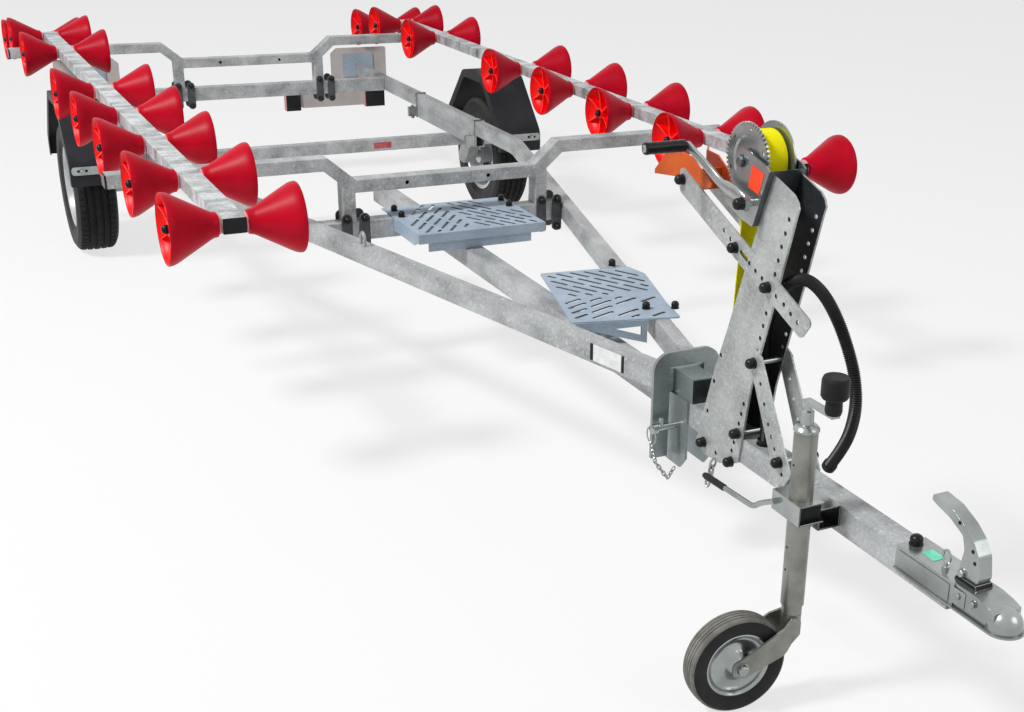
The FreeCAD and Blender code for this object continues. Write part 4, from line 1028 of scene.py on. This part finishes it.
# small hoop of round bar on the right-hand V rail, in metres
hoop = [Vector((0.472, -0.375, 0.480)), Vector((0.472, -0.375, 0.506))] + [
    Vector((0.490 - 0.018 * math.cos(a), -0.375, 0.506 + 0.018 * math.sin(a)))
    for a in (math.pi * k / 8 for k in range(1, 8))] + [
    Vector((0.508, -0.375, 0.506)), Vector((0.508, -0.375, 0.480))]
sweep(bm, hoop, [0.005] * len(hoop), 10)
finish_piece("small_bolts", bm, [bright_zinc], "chassis")

# lock pin: cross peg, ring and chain; second chain from the foot of the post
refine("lock_pin", [bright_zinc], 1.0)
bm = bmesh.new()
head = Vector((1.818, -0.104, 0.358))
loop_bar(bm, ring_points(head + Vector((0.004, -0.008, -0.014)), X * 0.021, Z * 0.021, 24),
         0.0016, 8)
sweep(bm, [head + Vector((0, 0.020, 0.006)), head + Vector((0, 0.020, 0.026))], [0.006] * 2,
      12)
chain(bm, [head + Vector((0, -0.006, -0.034)), head + Vector((0.006, 0.004, -0.085)),
           head + Vector((0.022, 0.030, -0.125)), Vector((1.846, -0.060, 0.262))],
      0.010, 0.0016)
chain(bm, [Vector((1.983, -0.0372, 0.333)), Vector((1.966, -0.034, 0.292)),
           Vector((1.948, -0.030, 0.255))], 0.021, 0.0030)
finish_piece("pin_chains", bm, [bright_zinc], "chassis", weighted=False)

# labels, all blank
V_START, V_HALF, V_SLOPE = -772, 702, 0.252     # where the V begins, half its width there
out = Vector((V_SLOPE, -1, 0)).normalized()


def rail_face(x, z):
    """Point just off the outer face of the right-hand V rail, in mm."""
    return Vector((x, -(V_HALF - (x - V_START) * V_SLOPE), z)) + out * 0.2


bm = bmesh.new()
for x0, x1, mat in ((1532, 1632, 0), (1520, 1530, 1), (1634, 1642, 1)):
    slab(bm, [rail_face(x0, 434), rail_face(x1, 434), rail_face(x1, 478), rail_face(x0, 478)],
         out, 0.6, mat)
slab(bm, [(-1461.8, 300, 338), (-1461.8, 380, 338), (-1461.8, 380, 364), (-1461.8, 300, 364)],
     X, 0.5, 2)
finish_piece("blank_labels", bm, [label_silver, matt_black, label_dark_red], "chassis")

# ---------------------------------------------------------------- floor, light and background
FLOOR_WHITE = 0.72              # share of the floor that shows as white; the rest is shaded
WORLD_LIGHT = 0.30              # strength of its light on the trailer; what is seen has 1


def seen_rays(tree):
    """One where a camera, glossy or transmission ray arrives."""
    rays = tree.nodes.new("ShaderNodeLightPath")
    total = rays.outputs["Is Camera Ray"]
    for name in ("Is Glossy Ray", "Is Transmission Ray"):
        node = tree.nodes.new("ShaderNodeMath")
        node.operation = "ADD"
        node.use_clamp = True
        tree.links.new(total, node.inputs[0])
        tree.links.new(rays.outputs[name], node.inputs[1])
        total = node.outputs[0]
    return total


def pale(name, share):
    """Diffuse material that shows partly as plain white to the camera and to reflections."""
    mat = bpy.data.materials.new(name)
    mat.use_nodes = True
    tree = mat.node_tree
    tree.nodes.clear()
    out_node = tree.nodes.new("ShaderNodeOutputMaterial")
    mix = tree.nodes.new("ShaderNodeMixShader")
    diffuse = tree.nodes.new("ShaderNodeBsdfDiffuse")
    diffuse.inputs["Color"].default_value = (0.80, 0.80, 0.80, 1)
    glow = tree.nodes.new("ShaderNodeEmission")
    glow.inputs["Strength"].default_value = 1.0
    part = tree.nodes.new("ShaderNodeMath")
    part.operation = "MULTIPLY"
    part.inputs[1].default_value = share
    tree.links.new(seen_rays(tree), part.inputs[0])
    tree.links.new(part.outputs[0], mix.inputs[0])
    tree.links.new(diffuse.outputs[0], mix.inputs[1])
    tree.links.new(glow.outputs[0], mix.inputs[2])
    tree.links.new(mix.outputs[0], out_node.inputs[0])
    return mat


bm = bmesh.new()
bmesh.ops.create_grid(bm, x_segments=8, y_segments=8, size=40)
mesh = bpy.data.meshes.new("floor")
bm.to_mesh(mesh)
bm.free()
mesh.materials.append(pale("floor_white", FLOOR_WHITE))
floor = bpy.data.objects.new("floor", mesh)
SCENE.collection.objects.link(floor)

world = bpy.data.worlds.new("studio")
SCENE.world = world
world.use_nodes = True
tree = world.node_tree
back = tree.nodes["Background"]
back.inputs["Color"].default_value = (1, 1, 1, 1)
strength = tree.nodes.new("ShaderNodeMapRange")
strength.inputs["To Min"].default_value = WORLD_LIGHT
strength.inputs["To Max"].default_value = 1.0
tree.links.new(seen_rays(tree), strength.inputs["Value"])
tree.links.new(strength.outputs[0], back.inputs["Strength"])


def lamp(name, place, target, size, power):
    """Round area light at a place, turned to a target, all in metres and watts."""
    data = bpy.data.lights.new(name, "AREA")
    data.shape = "DISK"
    data.size = size
    data.energy = power
    obj = bpy.data.objects.new(name, data)
    obj.location = place
    obj.rotation_euler = (Vector(target) - Vector(place)).to_track_quat("-Z", "Y").to_euler()
    SCENE.collection.objects.link(obj)


lamp("key", (1.2, -5.6, 7.2), (0.4, 0, 0.4), 1.7, 720)
lamp("fill", (6.5, 3.0, 4.0), (1.0, 0, 0.5), 3.5, 60)

SCENE.view_settings.view_transform = "Standard"
